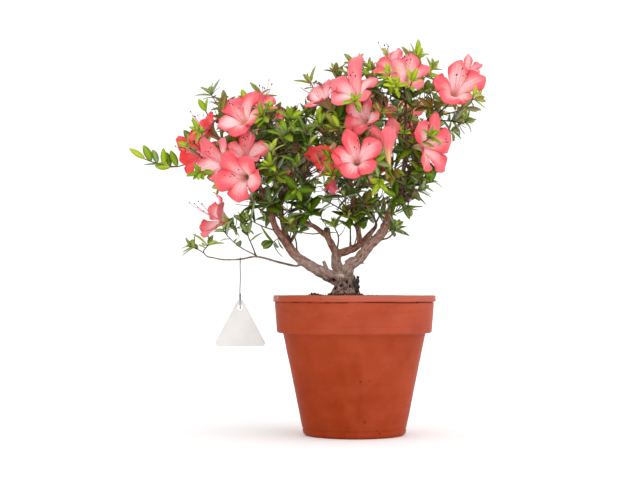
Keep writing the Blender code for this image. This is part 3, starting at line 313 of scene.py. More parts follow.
SPURS = (
    Spur("left_front", "bough_left_outer", 66.0, (-0.3, -1.0, 0.35), 11.0, 1.8),
    Spur("left_tip", "bough_left_outer", 92.0, (-1.0, 0.05, 0.35), 10.0, 1.8),
    Spur("left_back", "bough_left_outer", 80.0, (-0.2, 1.0, 0.4), 11.0, 1.8),
    Spur("mid_front", "bough_left_inner", 58.0, (0.25, -1.0, 0.4), 11.0, 1.7),
    Spur("mid_back", "bough_left_inner", 66.0, (0.3, 1.0, 0.4), 11.0, 1.7),
    Spur("shoot_left", "bough_left", 62.0, (-0.05, -0.35, 1.0), 11.0, 1.0),
    Spur("shoot_middle", "bough_middle", 33.0, (0.15, -0.25, 1.0), 14.0, 1.0),
    Spur("centre_low", "bough_middle_right", 17.0, (0.0, -0.35, 1.0), 10.0, 1.1),
    Spur("centre_front", "bough_centre", 74.0, (0.1, -1.0, 0.35), 10.0, 1.7),
    Spur("centre_back", "bough_centre", 80.0, (-0.1, 1.0, 0.45), 10.0, 1.7),
    Spur("right_sprig", "bough_right", 56.0, (1.0, -0.25, 0.25), 13.0, 1.1),
    Spur("right_low", "bough_right_top", 34.0, (0.9, -0.55, 0.3), 10.0, 1.6),
    Spur("right_side", "bough_right_top", 72.0, (0.8, -0.6, 0.5), 10.0, 1.6),
    Spur("right_back", "bough_right_top", 84.0, (0.3, 1.0, 0.5), 10.0, 1.6),
    Spur("right_outer", "bough_right_top", 118.0, (1.0, -0.05, 0.5), 10.0, 1.6),
    Spur("tag_rise", "tag_twig", 56.0, (-0.55, 0.0, 0.85), 6.0, 0.9),
    Spur("pruned_stub", "bough_left", 19.0, (-0.42, -0.1, 1.0), 18.5, 2.0),
    Spur("pruned_knob", "bough_right", 18.0, (-0.7, -0.2, 1.0), 7.5, 2.4),
    Spur("dead_twig", "bough_right", 21.0, (1.0, -0.1, 0.05), 15.0, 0.6),
    Spur("dead_stick", "bough_middle_left", 25.0, (-0.35, -0.1, 1.0), 21.0, 0.7,
         ((-30, 9, 229), (-32.5, 8.5, 236), (-36.5, 7, 241.5), (-37.3, 6, 248), (-37.0, 6, 251))),
)

MASSES = (
    Mass("left_tip", "left_tip", (-186, 0, 322), (50, 42, 40), 4, 1.9),
    Mass("left_top", "bough_left_outer", (-134, 4, 360), (44, 46, 30), 4, 1.25),
    Mass("left_front", "left_front", (-128, -58, 302), (42, 36, 42), 5, 1.2),
    Mass("left_back", "left_back", (-130, 56, 318), (48, 40, 42), 6, 1.5),
    Mass("mid_front", "mid_front", (-68, -48, 300), (38, 36, 46), 7, 1.15),
    Mass("mid_top", "bough_left_inner", (-74, -2, 346), (36, 42, 28), 5, 1.15),
    Mass("mid_back", "mid_back", (-62, 60, 308), (44, 42, 46), 6, 1.35),
    Mass("left_low", "branch_left_low", (-74, -8, 256), (32, 34, 24), 5, 2.0),
    Mass("shoot_left", "shoot_left", (-73, -32, 236), (12, 12, 14), 0, 2.5),
    Mass("shoot_middle", "shoot_middle", (-24, -4, 240), (10, 10, 10), 0, 2.5),
    Mass("centre_low", "centre_low", (-6, -22, 254), (30, 30, 22), 4, 1.9),
    Mass("centre_front", "centre_front", (-4, -64, 314), (44, 34, 44), 5, 1.15),
    Mass("centre_top", "bough_centre", (-14, -10, 380), (42, 46, 40), 5, 1.1),
    Mass("centre_back", "centre_back", (-2, 62, 345), (46, 42, 48), 6, 1.2),
    Mass("back_low", "bough_middle_right", (20, 46, 268), (42, 36, 30), 5, 2.2),
    Mass("right_sprig", "right_sprig", (48, -18, 236), (16, 14, 14), 0, 2.0),
    Mass("right_low", "right_low", (64, -18, 266), (36, 36, 26), 5, 1.8),
    Mass("right_side", "right_side", (82, -30, 318), (40, 38, 32), 5, 1.3),
    Mass("right_outer", "right_outer", (108, -8, 374), (36, 42, 30), 5, 1.5),
    Mass("right_top", "bough_right_top", (48, -6, 408), (42, 44, 30), 5, 1.15),
    Mass("right_back", "right_back", (74, 58, 350), (46, 40, 46), 6, 1.5),
    Mass("tag_rise", "tag_rise", (-140, -4, 236), (26, 20, 20), 0, 2.4),
    Mass("tag_tip", "tag_twig", (-170, -2, 212), (18, 18, 14), 0, 2.4),
)
FOLIAGE = tuple("foliage_" + mass.name for mass in MASSES)

# Blooms and sprigs stand under the mass that bears them
BLOOMS: dict[str, tuple[Bloom, ...]] = {
    "left_top": (
        Bloom((-129, -44, 355), (-0.4, -0.74, 0.5), 1.28, roll=0.35),
        Bloom((-101, -12, 374), (0.35, -0.6, 0.7), 0.85),
        Bloom((-170, -2, 346), (-0.65, -0.6, 0.5), 0.95, flush=Flush.RED, roll=0.2)),
    "left_front": (
        Bloom((-154, -62, 303), (-0.75, -0.65, 0.2), 1.12, flush=Flush.SALMON, roll=0.5),
        Bloom((-125, -86, 281), (-0.3, -0.92, -0.12), 1.14, form=Form.WIDE, roll=0.63),
        Bloom((-119, -62, 315), (0.12, -0.85, 0.5), 1.0, flush=Flush.SALMON, roll=0.2)),
    "left_tip": (Bloom((-182, -16, 315), (-0.75, -0.65, 0.05), 0.95, flush=Flush.RED, roll=0.5),),
    "left_back": (
        Bloom((-150, 86, 322), (-0.45, 0.85, 0.2), form=Form.WIDE),
        Bloom((-112, 82, 346), (0.1, 0.8, 0.6), 0.9, flush=Flush.SALMON)),
    "tag_rise": (
        Bloom((-164, -9, 246), (-0.9, -0.32, 0.3), 0.84, flush=Flush.SALMON, form=Form.CUP, roll=0.1),),
    "mid_top": (Bloom((-82, -28, 361), (0.15, -0.1, 0.95), 0.36, 0.75, form=Form.BUD),),
    "mid_back": (Bloom((-66, 98, 316), (-0.15, 0.95, 0.25)),),
    "centre_top": (
        Bloom((-41, -30, 379), (-0.6, -0.45, 0.65), 1.05, flush=Flush.SALMON),
        Bloom((-3, -50, 385), (-0.3, -0.7, 0.65), 1.12, flush=Flush.SALMON, first_lobe=1.5),
        Bloom((4, -62, 350), (-0.5, -0.82, 0.26), 0.98, 0.9, roll=0.55)),
    "centre_front": (
        Bloom((0, -90, 304), (-0.04, -0.95, 0.3), 1.08, roll=-0.2, first_lobe=1.1),
        Bloom((30, -78, 339), (-0.13, -0.2, 1.0), 0.6, 1.62, Flush.SALMON, Form.CUP, 0.1, stamens=False),
        # This bloom hangs down in shade and takes the deeper red, partly as painted shade.
        Bloom((-33, -70, 299), (-0.35, -0.5, -0.75), 0.98, flush=Flush.RED, form=Form.TRUMPET),
        Bloom((-27, -52, 272), (-0.1, -0.15, -1.0), 0.4, 0.8, Flush.FADED, Form.TRUMPET)),
    "centre_back": (
        Bloom((-18, 98, 350), (-0.15, 0.9, 0.35), form=Form.WIDE),
        Bloom((22, 88, 382), (0.2, 0.65, 0.75), 0.95, flush=Flush.SALMON)),
    "right_top": (
        Bloom((38, -24, 416), (-0.5, -0.5, 0.65), 0.95),
        Bloom((60, -44, 402), (0.12, -0.85, 0.5), 1.0, flush=Flush.SALMON, roll=0.2)),
    "right_outer": (
        Bloom((113, -38, 387), (0.15, -0.88, 0.45), 1.18, roll=0.1, first_lobe=1.12),
        Bloom((128, -16, 413), (0.15, -0.75, 0.6), 0.56, 0.75, Flush.SALMON, roll=0.1, first_lobe=1.25,
              stamens=False)),
    "right_side": (
        Bloom((86, -50, 319), (0.78, -0.62, -0.04), 1.26, roll=0.15),
        Bloom((70, 16, 344), (0.0, -0.2, 0.9), 0.7)),
    "right_back": (
        Bloom((88, 84, 338), (0.5, 0.8, 0.3)),
        Bloom((60, 92, 372), (-0.1, 0.95, 0.1), 0.9, flush=Flush.SALMON)),
    "back_low": (Bloom((18, 80, 300), (0.1, 0.95, 0.1), 0.9),),
}
ALL_BLOOMS = tuple(itertools.chain.from_iterable(BLOOMS.values()))

SPRIGS: dict[str, tuple[Sprig, ...]] = {
    "left_tip": (
        Sprig((-236, -2, 309), (-0.95, -0.1, 0.4), Kind.COMB),
        Sprig((-207, -2, 300), (-1.0, -0.1, 0.1), Kind.COMB),
        Sprig((-183, -45, 318), (-0.7, -0.5, 0.3), Kind.FRONT),
        Sprig((-169, -60, 289), (-0.5, -0.5, -0.2), Kind.FRONT)),
    "left_top": (
        Sprig((-171, -50, 336), (-0.2, -0.5, 0.9), Kind.FRONT),
        Sprig((-168, 5, 364), (-0.3, 0.0, 1.0)),
        Sprig((-146, 18, 356), (-0.2, 0.3, 0.9)),
        Sprig((-97, -50, 361), (0.2, -0.3, 1.0), Kind.FRONT),
        Sprig((-101, -66, 349), (-0.1, -0.6, 0.8), Kind.FRONT)),
    "mid_top": (
        Sprig((-67, -15, 353), (0.0, -0.2, 1.0)),
        Sprig((-54, 6, 360), (0.4, 0.1, 1.0)),
        Sprig((-42, -45, 350), (0.3, -0.4, 0.9), Kind.FRONT)),
    "mid_front": (
        Sprig((-92, -80, 295), (0.2, -0.8, 0.5), Kind.FRONT),
        Sprig((-91, -76, 311), (-0.1, -0.5, 0.8), Kind.FRONT)),
    "centre_top": (
        Sprig((0, 2, 417), (-0.1, -0.1, 1.0)),
        Sprig((-2, -84, 364), (-0.1, -0.5, 0.9), Kind.FRONT)),
    "centre_front": (
        Sprig((26, -62, 354), (0.2, -0.5, 0.9), Kind.FRONT),
        Sprig((-28, -72, 305), (0.6, -0.6, 0.3), Kind.FRONT),
        Sprig((-26, -88, 284), (0.2, -0.9, 0.1), Kind.FRONT),
        Sprig((25, -76, 277), (-0.2, -0.9, -0.1), Kind.FRONT)),
    "right_top": (
        Sprig((36, -10, 430), (-0.1, 0.0, 1.0)),
        Sprig((64, 0, 424), (0.1, 0.1, 1.0)),
        Sprig((88, -5, 411), (0.3, 0.0, 1.0)),
        Sprig((36, -64, 396), (0.0, -0.5, 0.9), Kind.FRONT),
        Sprig((43, -70, 382), (0.1, -0.7, 0.7), Kind.FRONT),
        Sprig((60, -74, 386), (0.2, -0.6, 0.7), Kind.FRONT)),
    "right_outer": (
        Sprig((129, -52, 372), (0.4, -0.4, 0.8), Kind.FRONT),
        Sprig((125, -10, 350), (0.9, -0.1, 0.5)),
        Sprig((112, -2, 352), (1.0, 0.0, 0.1))),
    "right_side": (
        Sprig((48, -50, 354), (0.2, -0.7, 0.4), Kind.FRONT),
        Sprig((51, -60, 331), (0.1, -0.5, 0.9), Kind.FRONT),
        Sprig((80, -70, 326), (0.1, -0.6, 0.8), Kind.FRONT),
        Sprig((40, -58, 290), (0.1, -0.8, 0.2), Kind.FRONT)),
    "right_low": (
        Sprig((72, -42, 291), (0.5, -0.6, 0.4), Kind.FRONT),
        Sprig((80, -24, 284), (1.0, -0.1, -0.05)),
        Sprig((72, -20, 272), (0.9, -0.2, -0.3)),
        Sprig((60, -16, 254), (0.8, -0.3, -0.2))),
    "right_sprig": (Sprig((46, -17, 230), (0.5, -0.3, 0.5)),),
    "shoot_left": (Sprig((-72, -24, 236), (-0.1, -0.5, 0.9)),),
    "shoot_middle": (Sprig((-22, 4, 233), (0.0, -0.4, 0.9)),),
    "centre_low": (Sprig((-4, -14, 244), (0.1, -0.4, 0.9)),),
    "tag_tip": (
        Sprig((-181, -5, 210), (-0.9, -0.1, 0.4)),
        Sprig((-165, 4, 213), (0.1, 0.2, 1.0))),
}

LAID = (
    Laid(((-110, -8, 199.5), (-115, -7.5, 212), (-119.8, -7, 223.2), (-125, -5, 239)), 0.85, 0.6, Kind.HAND),
    Laid(((-109, -8, 199.5), (-128, -8, 209.5), (-141, -7, 220.7), (-147, -6, 228)), 0.8, 0.5, Kind.HAND),
    Laid(((-142, -7, 221.5), (-145, -6, 227), (-144, -4, 232), (-138, -0.5, 237.3)), 0.6, 0.6, Kind.BLOOM),
    Laid(((-144.5, -6, 227), (-138, -6, 230.5), (-131, -5, 231), (-126, -5, 236)), 0.5, 0.4, Kind.SHOOT),
    Laid(((-82, -12, 219), (-86, -14, 218.5), (-91, -15, 214.5)), 0.6, 0.45, Kind.SHOOT),
)

# Limbs with shoots of their own, and how far along each the first one stands
SHOOT_LIMBS = {"bough_left_outer": 16.0, "bough_left_inner": 12.0, "branch_left_low": 8.0,
               "bough_middle_right": 18.0, "bough_centre": 14.0, "bough_right_top": 12.0}

# Rounded spaces seen from the front, as (x, z, half-width, half-height), that no growth fills
GAPS = ((108.0, 313.0, 19.0, 31.0), (88.0, 246.0, 36.0, 27.0), (-40.0, 420.0, 26.0, 20.0),
        (-226.0, 344.0, 30.0, 27.0), (-128.0, 398.0, 28.0, 24.0))


def colour(code: str) -> tuple[float, float, float, float]:
    """Return the linear colour of a code.

    Args:
        code: the colour as #RRGGBB.
    Returns:
        red, green, blue and one.
    """
    parts = [int(code[k:k + 2], 16) / 255.0 for k in (1, 3, 5)]
    linear = [part / 12.92 if part <= 0.04045 else ((part + 0.055) / 1.055) ** 2.4 for part in parts]
    return (*linear, 1.0)


def smooth_path(points: Sequence, step: float) -> np.ndarray:
    """Return a Catmull-Rom curve through points.

    Between two knots the curve is the cubic whose slopes at them are half the way
    from the knot before to the knot after.

    Args:
        points: the knots.
        step: about how far apart the curve's points are.
    Returns:
        the curve's points.
    """
    knots = np.array(points, float)
    knots = np.vstack([2 * knots[0] - knots[1], knots, 2 * knots[-1] - knots[-2]])
    path = [knots[1:2]]
    for before, start, end, after in zip(knots, knots[1:], knots[2:], knots[3:]):
        pieces = max(1, round(float(np.linalg.norm(end - start)) / step))
        t = (np.arange(1, pieces + 1) / pieces)[:, None]
        square = 2 * before - 5 * start + 4 * end - after
        cube = 3 * start - before - 3 * end + after
        path.append(0.5 * (2 * start + (end - before) * t + square * t ** 2 + cube * t ** 3))
    return np.vstack(path)


def along(path: np.ndarray) -> np.ndarray:
    """Return the distance of each point of a path from its start."""
    return np.concatenate([[0.0], np.cumsum(np.linalg.norm(np.diff(path, axis=0), axis=1))])


def point_along(path: np.ndarray, distance: float) -> np.ndarray:
    """Return the point at a distance along a path."""
    way = along(path)
    return np.array([np.interp(distance, way, part) for part in path.T])


def evenly(path: np.ndarray, rows: int) -> np.ndarray:
    """Return points at even distances along a path."""
    return np.array([point_along(path, reach) for reach in np.linspace(0.0, 1.0, rows) * along(path)[-1]])


def carried(ahead: np.ndarray) -> np.ndarray:
    """Return ways square to paths, carried along them without a twist.

    Args:
        ahead: the unit ways of paths, as paths by rows by 3.
    Returns:
        one way for each row of each path.
    """
    side = np.cross(ahead[:, 0], np.where(np.abs(ahead[:, 0, 2:]) > 0.9, ALONG_X, UP))
    sides = []
    for row in range(ahead.shape[1]):
        side = square_to(ahead[:, row], side)
        sides.append(side)
    return np.stack(sides, axis=1)


def round_turns(count: int) -> np.ndarray:
    """Return the turns of a ring's corners, in radians."""
    return TURN * np.arange(count) / count


def noise(seed: int, points: np.ndarray, layers: int = 1) -> np.ndarray:
    """Return smooth noise from 0 to 1: a lattice of seeded values, eased between its points.

    Args:
        seed: what the lattice's values are drawn from.
        points: places in lattice steps, with their three parts along the last axis.
        layers: noises to sum, each twice as fine and half as strong as the last.
    Returns:
        one value for each place.
    """
    table = np.random.default_rng(seed).random((LATTICE,) * 3).astype(np.float32)
    total = np.zeros(points.shape[:-1])
    for layer in range(layers):
        finer = points * 2.0 ** layer + 7.3 * layer
        cell = np.floor(finer).astype(int)
        part = finer - cell
        part = part * part * (3.0 - 2.0 * part)
        value = np.zeros(points.shape[:-1])
        for corner in itertools.product((0, 1), repeat=3):
            weight = np.prod(np.where(corner, part, 1.0 - part), axis=-1)
            index = (cell + corner) % LATTICE
            value += weight * table[index[..., 0], index[..., 1], index[..., 2]]
        total += value * 0.5 ** layer
    return total / sum(0.5 ** layer for layer in range(layers))


@dataclass
class Surface:
    """A mesh in the making: corners in millimetres, quads with map places, and triangles."""

    corners: np.ndarray
    quads: np.ndarray
    triangles: np.ndarray = field(default_factory=lambda: np.zeros((0, 3), int))
    places: np.ndarray | None = None


def joined(surfaces: Iterable[Surface]) -> Surface:
    """Return one surface that holds several.

    Args:
        surfaces: what is joined; either all of them have places on the map or none.
    Returns:
        the whole.
    """
    parts = list(surfaces)
    first = np.cumsum([0] + [len(part.corners) for part in parts])
    places = None if parts[0].places is None else np.concatenate([part.places for part in parts])
    return Surface(np.concatenate([part.corners for part in parts]),
                   np.concatenate([part.quads + start for part, start in zip(parts, first)]),
                   np.concatenate([part.triangles + start for part, start in zip(parts, first)]), places)


def repeated(faces: np.ndarray, count: int, size: int) -> np.ndarray:
    """Return faces for many meshes whose corners follow one another, size corners to each."""
    return (faces[None] + (np.arange(count) * size)[:, None, None]).reshape(-1, faces.shape[1])


def grid_quads(rows: int, columns: int, rows_closed: bool = False,
               columns_closed: bool = False) -> np.ndarray:
    """Return the quads of a grid of corners numbered row by row.

    Args:
        rows: rows of corners.
        columns: corners in a row.
        rows_closed: whether the last row joins the first.
        columns_closed: whether each row's last corner joins its first.
    Returns:
        corner numbers, four to a quad.
    """
    i = np.arange(rows if rows_closed else rows - 1)[:, None]
    j = np.arange(columns if columns_closed else columns - 1)[None, :]
    i_next = (i + 1) % rows
    j_next = (j + 1) % columns
    quads = np.stack(np.broadcast_arrays(i * columns + j, i * columns + j_next,
                                         i_next * columns + j_next, i_next * columns + j), axis=-1)
    return quads.reshape(-1, 4)


def copies(shape: Surface, frames: np.ndarray, origins: np.ndarray) -> Surface:
    """Return a shape repeated: each copy is frame times corner, plus origin.

    Args:
        shape: what is repeated.
        frames: one 3 by 3 matrix for each copy, whose columns are the copy's axes.
        origins: one place for each copy.
    Returns:
        all copies as one surface.
    """
    count, size = len(origins), len(shape.corners)
    corners = np.einsum("mij,vj->mvi", frames, shape.corners) + origins[:, None]
    places = None if shape.places is None else np.tile(shape.places, (count, 1, 1))
    return Surface(corners.reshape(-1, 3), repeated(shape.quads, count, size),
                   repeated(shape.triangles, count, size), places)


def closed_rings(rings: np.ndarray, ends: np.ndarray) -> Surface:
    """Return skins over rings of corners, with each end closed by a fan on one point.

    Args:
        rings: skins by rows by corners in a ring by 3.
        ends: skins by 2 by 3, the points that close the first and the last row.
    Returns:
        all skins as one surface.
    """
    count, rows, sides, _ = rings.shape
    size = rows * sides
    j = np.arange(sides)
    j_next = (j + 1) % sides
    last = size - sides
    fans = np.concatenate([np.stack([np.full(sides, size), j_next, j], axis=1),
                           np.stack([np.full(sides, size + 1), last + j, last + j_next], axis=1)])
    corners = np.concatenate([rings.reshape(count, size, 3), ends], axis=1)
    return Surface(corners.reshape(-1, 3),
                   repeated(grid_quads(rows, sides, columns_closed=True), count, size + 2),
                   repeated(fans, count, size + 2))


def tubes(paths: np.ndarray, radii: np.ndarray, sides: int) -> Surface:
    """Return closed tubes round many paths of equal length at once.

    A ring's corner is path + radius * (side * cos(a) + rise * sin(a)), where side is
    carried along the path square to it and rise is ahead x side.

    Args:
        paths: tubes by rows by 3.
        radii: tubes by rows, or tubes by rows by sides.
        sides: corners in a ring.
    Returns:
        all tubes as one surface.
    """
    paths = np.asarray(paths, float)
    radii = np.asarray(radii, float)
    if radii.ndim == 2:
        radii = np.repeat(radii[..., None], sides, axis=2)
    ahead = unit(np.gradient(paths, axis=1))
    side = carried(ahead)
    rise = np.cross(ahead, side)
    turn = round_turns(sides)[:, None]
    ring = side[:, :, None] * np.cos(turn) + rise[:, :, None] * np.sin(turn)
    return closed_rings(paths[:, :, None] + ring * radii[..., None], paths[:, [0, -1]])


def shells(top: np.ndarray, under: np.ndarray, top_places: np.ndarray, under_places: np.ndarray) -> Surface:
    """Return thin closed blades: a top sheet and an under sheet that share their rim.

    Args:
        top: blades by rows by columns by 3; its normal is column way x row way.
        under: the same for the other side.
        top_places: rows by columns by 2, the top's places on the map, for each blade or for all.
        under_places: the same for the other side.
    Returns:
        all blades as one surface.
    """
    count, rows, columns, _ = top.shape
    size = rows * columns
    inner = (rows - 2) * (columns - 2)
    corners = np.concatenate([top.reshape(count, size, 3),
                              under[:, 1:-1, 1:-1].reshape(count, inner, 3)], axis=1)
    numbers = np.arange(size).reshape(rows, columns)
    numbers[1:-1, 1:-1] = size + np.arange(inner).reshape(rows - 2, columns - 2)
    quads = grid_quads(rows, columns)
    both = np.concatenate([quads, numbers.ravel()[quads][:, ::-1]])
    over, below = (np.broadcast_to(places, (count, rows, columns, 2)).reshape(count, size, 2)
                   for places in (top_places, under_places))
    places = np.concatenate([over[:, quads], below[:, quads[:, ::-1]]], axis=1).reshape(-1, 4, 2)
    return Surface(corners.reshape(-1, 3), repeated(both, count, size + inner), places=places)


def make_piece(name: str, surface: Surface, material: bpy.types.Material,
               nodes: Sequence[str] = ()) -> bpy.types.Object:
    """Put a surface into a mesh object that rides on the part.

    Args:
        name: the piece's name.
        surface: its corners and faces.
        material: its finish.
        nodes: the nodes of the part that it stands for.
    Returns:
        the object.
    """
    mesh = bpy.data.meshes.new(name)
    mesh.vertices.add(len(surface.corners))
    mesh.vertices.foreach_set("co", (surface.corners * MM).astype(np.float32).ravel())
    loops = np.concatenate([surface.quads.ravel(), surface.triangles.ravel()])
    mesh.loops.add(len(loops))
    quad_count, triangle_count = len(surface.quads), len(surface.triangles)
    mesh.polygons.add(quad_count + triangle_count)
    starts = np.concatenate([np.arange(quad_count) * 4, quad_count * 4 + np.arange(triangle_count) * 3])
    mesh.polygons.foreach_set("loop_start", starts.astype(np.int32))
    mesh.polygons.foreach_set("vertices", loops.astype(np.int32))
    mesh.update(calc_edges=True)
    mesh.shade_smooth()
    if surface.places is not None:
        layer = mesh.uv_layers.new(name=MAP_NAME)
        spare = np.zeros((triangle_count * 3, 2))
        layer.data.foreach_set("uv", np.concatenate([surface.places.reshape(-1, 2), spare]).ravel())
    mesh.materials.append(material)
    obj = bpy.data.objects.new(name, mesh)
    bpy.context.scene.collection.objects.link(obj)
    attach(obj, BODY)
    if nodes:
        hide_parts(*nodes)
    LOG.info("%s: %d faces", obj.name, len(mesh.polygons))
    return obj


def set_values(mesh: bpy.types.Mesh, name: str, kind: str, values: np.ndarray) -> None:
    """Give each corner of a mesh what a finish reads.

    Args:
        mesh: the mesh.
        name: the attribute's name.
        kind: the attribute's type.
        values: a number, a vector or a colour for each corner.
    """
    label = {"FLOAT": "value", "FLOAT_VECTOR": "vector", "FLOAT_COLOR": "color"}[kind]
    mesh.attributes.new(name, kind, "POINT").data.foreach_set(label, values.astype(np.float32).ravel())


def apply_modifiers(obj: bpy.types.Object) -> None:
    """Replace an object's mesh with what its modifiers make of it.

    Args:
        obj: the object, whose modifiers go.
    """
    evaluated = obj.evaluated_get(bpy.context.evaluated_depsgraph_get())
    mesh = bpy.data.meshes.new_from_object(evaluated)
    obj.modifiers.clear()
    obj.data = mesh


@dataclass(frozen=True)
class Wire:
    """A node's output, which can be reckoned with like a number."""

    graph: "Graph"
    socket: bpy.types.NodeSocket

    def out(self, key: int | str) -> "Wire":
        """Return another output of the same node."""
        return Wire(self.graph, self.socket.node.outputs[key])

    def math(self, operation: str, second: "Wire | float" = 0.0, third: "Wire | float" = 0.0) -> "Wire":
        """Return the result of an operation on this value and up to two more."""
        return self.graph.add("Math", {0: self, 1: second, 2: third}, operation=operation)

    def __add__(self, other: "Wire | float") -> "Wire":
        """Return the sum."""
        return self.math("ADD", other)

    def __sub__(self, other: "Wire | float") -> "Wire":
        """Return the difference."""
        return self.math("SUBTRACT", other)

    def __mul__(self, other: "Wire | float") -> "Wire":
        """Return the product."""
        return self.math("MULTIPLY", other)

    def __abs__(self) -> "Wire":
        """Return the value without its sign."""
        return self.math("ABSOLUTE")

    def scaled(self, by: float, plus: "Wire | float") -> "Wire":
        """Return the value times one number plus another."""
        return self.math("MULTIPLY_ADD", by, plus)

    def above(self, limit: float) -> "Wire":
        """Return 1 where the value is above a limit, and 0 elsewhere."""
        return self.math("GREATER_THAN", limit)

    def span(self, low: "Wire | float", high: "Wire | float", to_low: float = 0.0,
             to_high: float = 1.0) -> "Wire":
        """Return the value eased from one span to another."""
        return self.graph.add("MapRange", {0: self, 1: low, 2: high, 3: to_low, 4: to_high},
                              interpolation_type="SMOOTHSTEP")


@dataclass(frozen=True)
class Graph:
    """A node tree that is wired in few words; a #RRGGBB code stands for a colour in it."""

    tree: bpy.types.NodeTree

    def feed(self, node: bpy.types.Node, values: dict) -> None:
        """Link or set a node's inputs.

        Args:
            node: the node.
            values: for each input's name or number, a wire, a value or a colour's code.
        """
        for key, value in values.items():
            if isinstance(value, Wire):
                self.tree.links.new(value.socket, node.inputs[key])
            else:
                node.inputs[key].default_value = colour(value) if isinstance(value, str) else value

    def add(self, kind: str, values: dict | None = None, **settings) -> Wire:
        """Add a node.

        Args:
            kind: the node's type, without its leading word.
            values: what its inputs get.
            settings: the node's own properties.
        Returns:
            its first output.
        """
        node = self.tree.nodes.new("ShaderNode" + kind)
        for key, value in settings.items():
            setattr(node, key, value)
        self.feed(node, values or {})
        return Wire(self, node.outputs[0])

    def mix(self, share: Wire | float, first: Wire | str, second: Wire | str, blend: str = "MIX") -> Wire:
        """Return a colour between two."""
        return self.add("Mix", {0: share, 6: first, 7: second}, data_type="RGBA", blend_type=blend).out(2)

    def layered(self, base: Wire | str, *layers: tuple) -> Wire:
        """Return a colour with others laid over it in turn.

        Args:
            base: the first colour.
            layers: (share, colour) of each layer, the lowest first.
        Returns:
            the colour on top.
        """
        for share, shade in layers:
            base = self.mix(share, base, shade)
        return base

    def noise(self, place: Wire, scale: Wire | float, detail: float = 3.0, roughness: float = 0.55) -> Wire:
        """Return noise at a place."""
        values = {"Vector": place, "Scale": scale, "Detail": detail, "Roughness": roughness}
        return self.add("TexNoise", values)

    def stretched(self, place: Wire, *scale: float) -> Wire:
        """Return a place with its axes scaled."""
        return self.add("Mapping", {"Vector": place, "Scale": scale})

    def bump(self, height: Wire, strength: float, depth: float) -> Wire:
        """Return the normal of a bump; its depth is in metres."""
        return self.add("Bump", {"Height": height, "Strength": strength, "Distance": depth})

    def attribute(self, name: str, output: str) -> Wire:
        """Return what a mesh holds under a name."""
        return self.add("Attribute", attribute_name=name).out(output)

    def place(self) -> Wire:
        """Return the place on the object, in metres."""
        return self.add("TexCoord").out("Object")

    def parts(self, place: Wire) -> tuple[Wire, Wire, Wire]:
        """Return a place's three parts."""
        first = self.add("SeparateXYZ", {0: place})
        return first, first.out(1), first.out(2)

    def clouded(self, place: Wire, scale: float, first: Wire | str, second: str, edge: float) -> Wire:
        """Return two colours in clouds."""
        values = {"Place": place, "Scale": scale, "First": first, "Second": second, "Edge": edge}
        return self.add("Group", values, node_tree=mottle_group())


def new_group(name: str, *inputs: tuple[str, str]) -> tuple[Graph, dict[str, Wire]]:
    """Start a node group that puts out a colour and the mask that made it.

    Args:
        name: the group's name.
        inputs: each further input's name and socket type, after a place and a scale.
    Returns:
        the group's graph and its inputs.
    """
    tree = bpy.data.node_groups.new(name, "ShaderNodeTree")
    for label, kind in (("Place", "Vector"), ("Scale", "Float"), *inputs):
        tree.interface.new_socket(label, in_out="INPUT", socket_type="NodeSocket" + kind)
    for label, kind in (("Colour", "Color"), ("Mask", "Float")):
        tree.interface.new_socket(label, in_out="OUTPUT", socket_type="NodeSocket" + kind)
    graph = Graph(tree)
    sockets = tree.nodes.new("NodeGroupInput").outputs
    return graph, {socket.name: Wire(graph, socket) for socket in sockets if socket.name}


def close_group(graph: Graph, mask: Wire, first: Wire, second: Wire) -> bpy.types.NodeTree:
    """Let a group put out two colours mixed by a mask, and the mask.

    Args:
        graph: the group's graph.
        mask: the second colour's share.
        first: the colour where the mask is 0.
        second: the colour where the mask is 1.
    Returns:
        the group.
    """
    values = {"Colour": graph.mix(mask, first, second), "Mask": mask}
    graph.feed(graph.tree.nodes.new("NodeGroupOutput"), values)
    return graph.tree


@functools.cache
def mottle_group() -> bpy.types.NodeTree:
    """Return a group that mixes two colours by cloudy noise, within Edge of its middle.

    Returns:
        the group, built once.
    """
    graph, given = new_group("Mottle", ("First", "Color"), ("Second", "Color"), ("Edge", "Float"))
    cloud = graph.noise(given["Place"], given["Scale"], 5.0, 0.6)
    edge = given["Edge"]
    low, high = (graph.add("Math", {0: 0.5, 1: edge}, operation=sign) for sign in ("SUBTRACT", "ADD"))
    return close_group(graph, cloud.span(low, high), given["First"], given["Second"])


@functools.cache
def dust_and_sheen_group() -> bpy.types.NodeTree:
    """Return a group that lays pale patches on a colour within a mask: dust and salt bloom, and on the clay a
    painted sheen too.

    Returns:
        the group, built once.
    """
    graph, given = new_group("DustAndSheen", ("Colour", "Color"), ("DustAndSheen", "Color"), ("Where", "Float"))
    patches = graph.noise(given["Place"], given["Scale"], 6.0, 0.7).span(0.46, 0.66)
    return close_group(graph, patches * given["Where"], given["Colour"], given["DustAndSheen"])


@dataclass(frozen=True)
class Finish:
    """A plain pale finish; the other kinds of finish paint their own patterns."""

    name: str
    roughness: float
    shine: float

    def make(self) -> bpy.types.Material:
        """Return the material.

        Returns:
            a new material, whose shader is fed by paint().
        """
        material = bpy.data.materials.new(self.name)
        material.use_nodes = True
        graph = Graph(material.node_tree)
        values = {"Roughness": self.roughness, "Specular IOR Level": self.shine}
        graph.feed(material.node_tree.nodes["Principled BSDF"], values | self.paint(graph))
        return material

    def paint(self, graph: Graph) -> dict:
        """Return what feeds the shader's inputs."""
        return {"Base Color": (0.95, 0.95, 0.95, 1.0)}


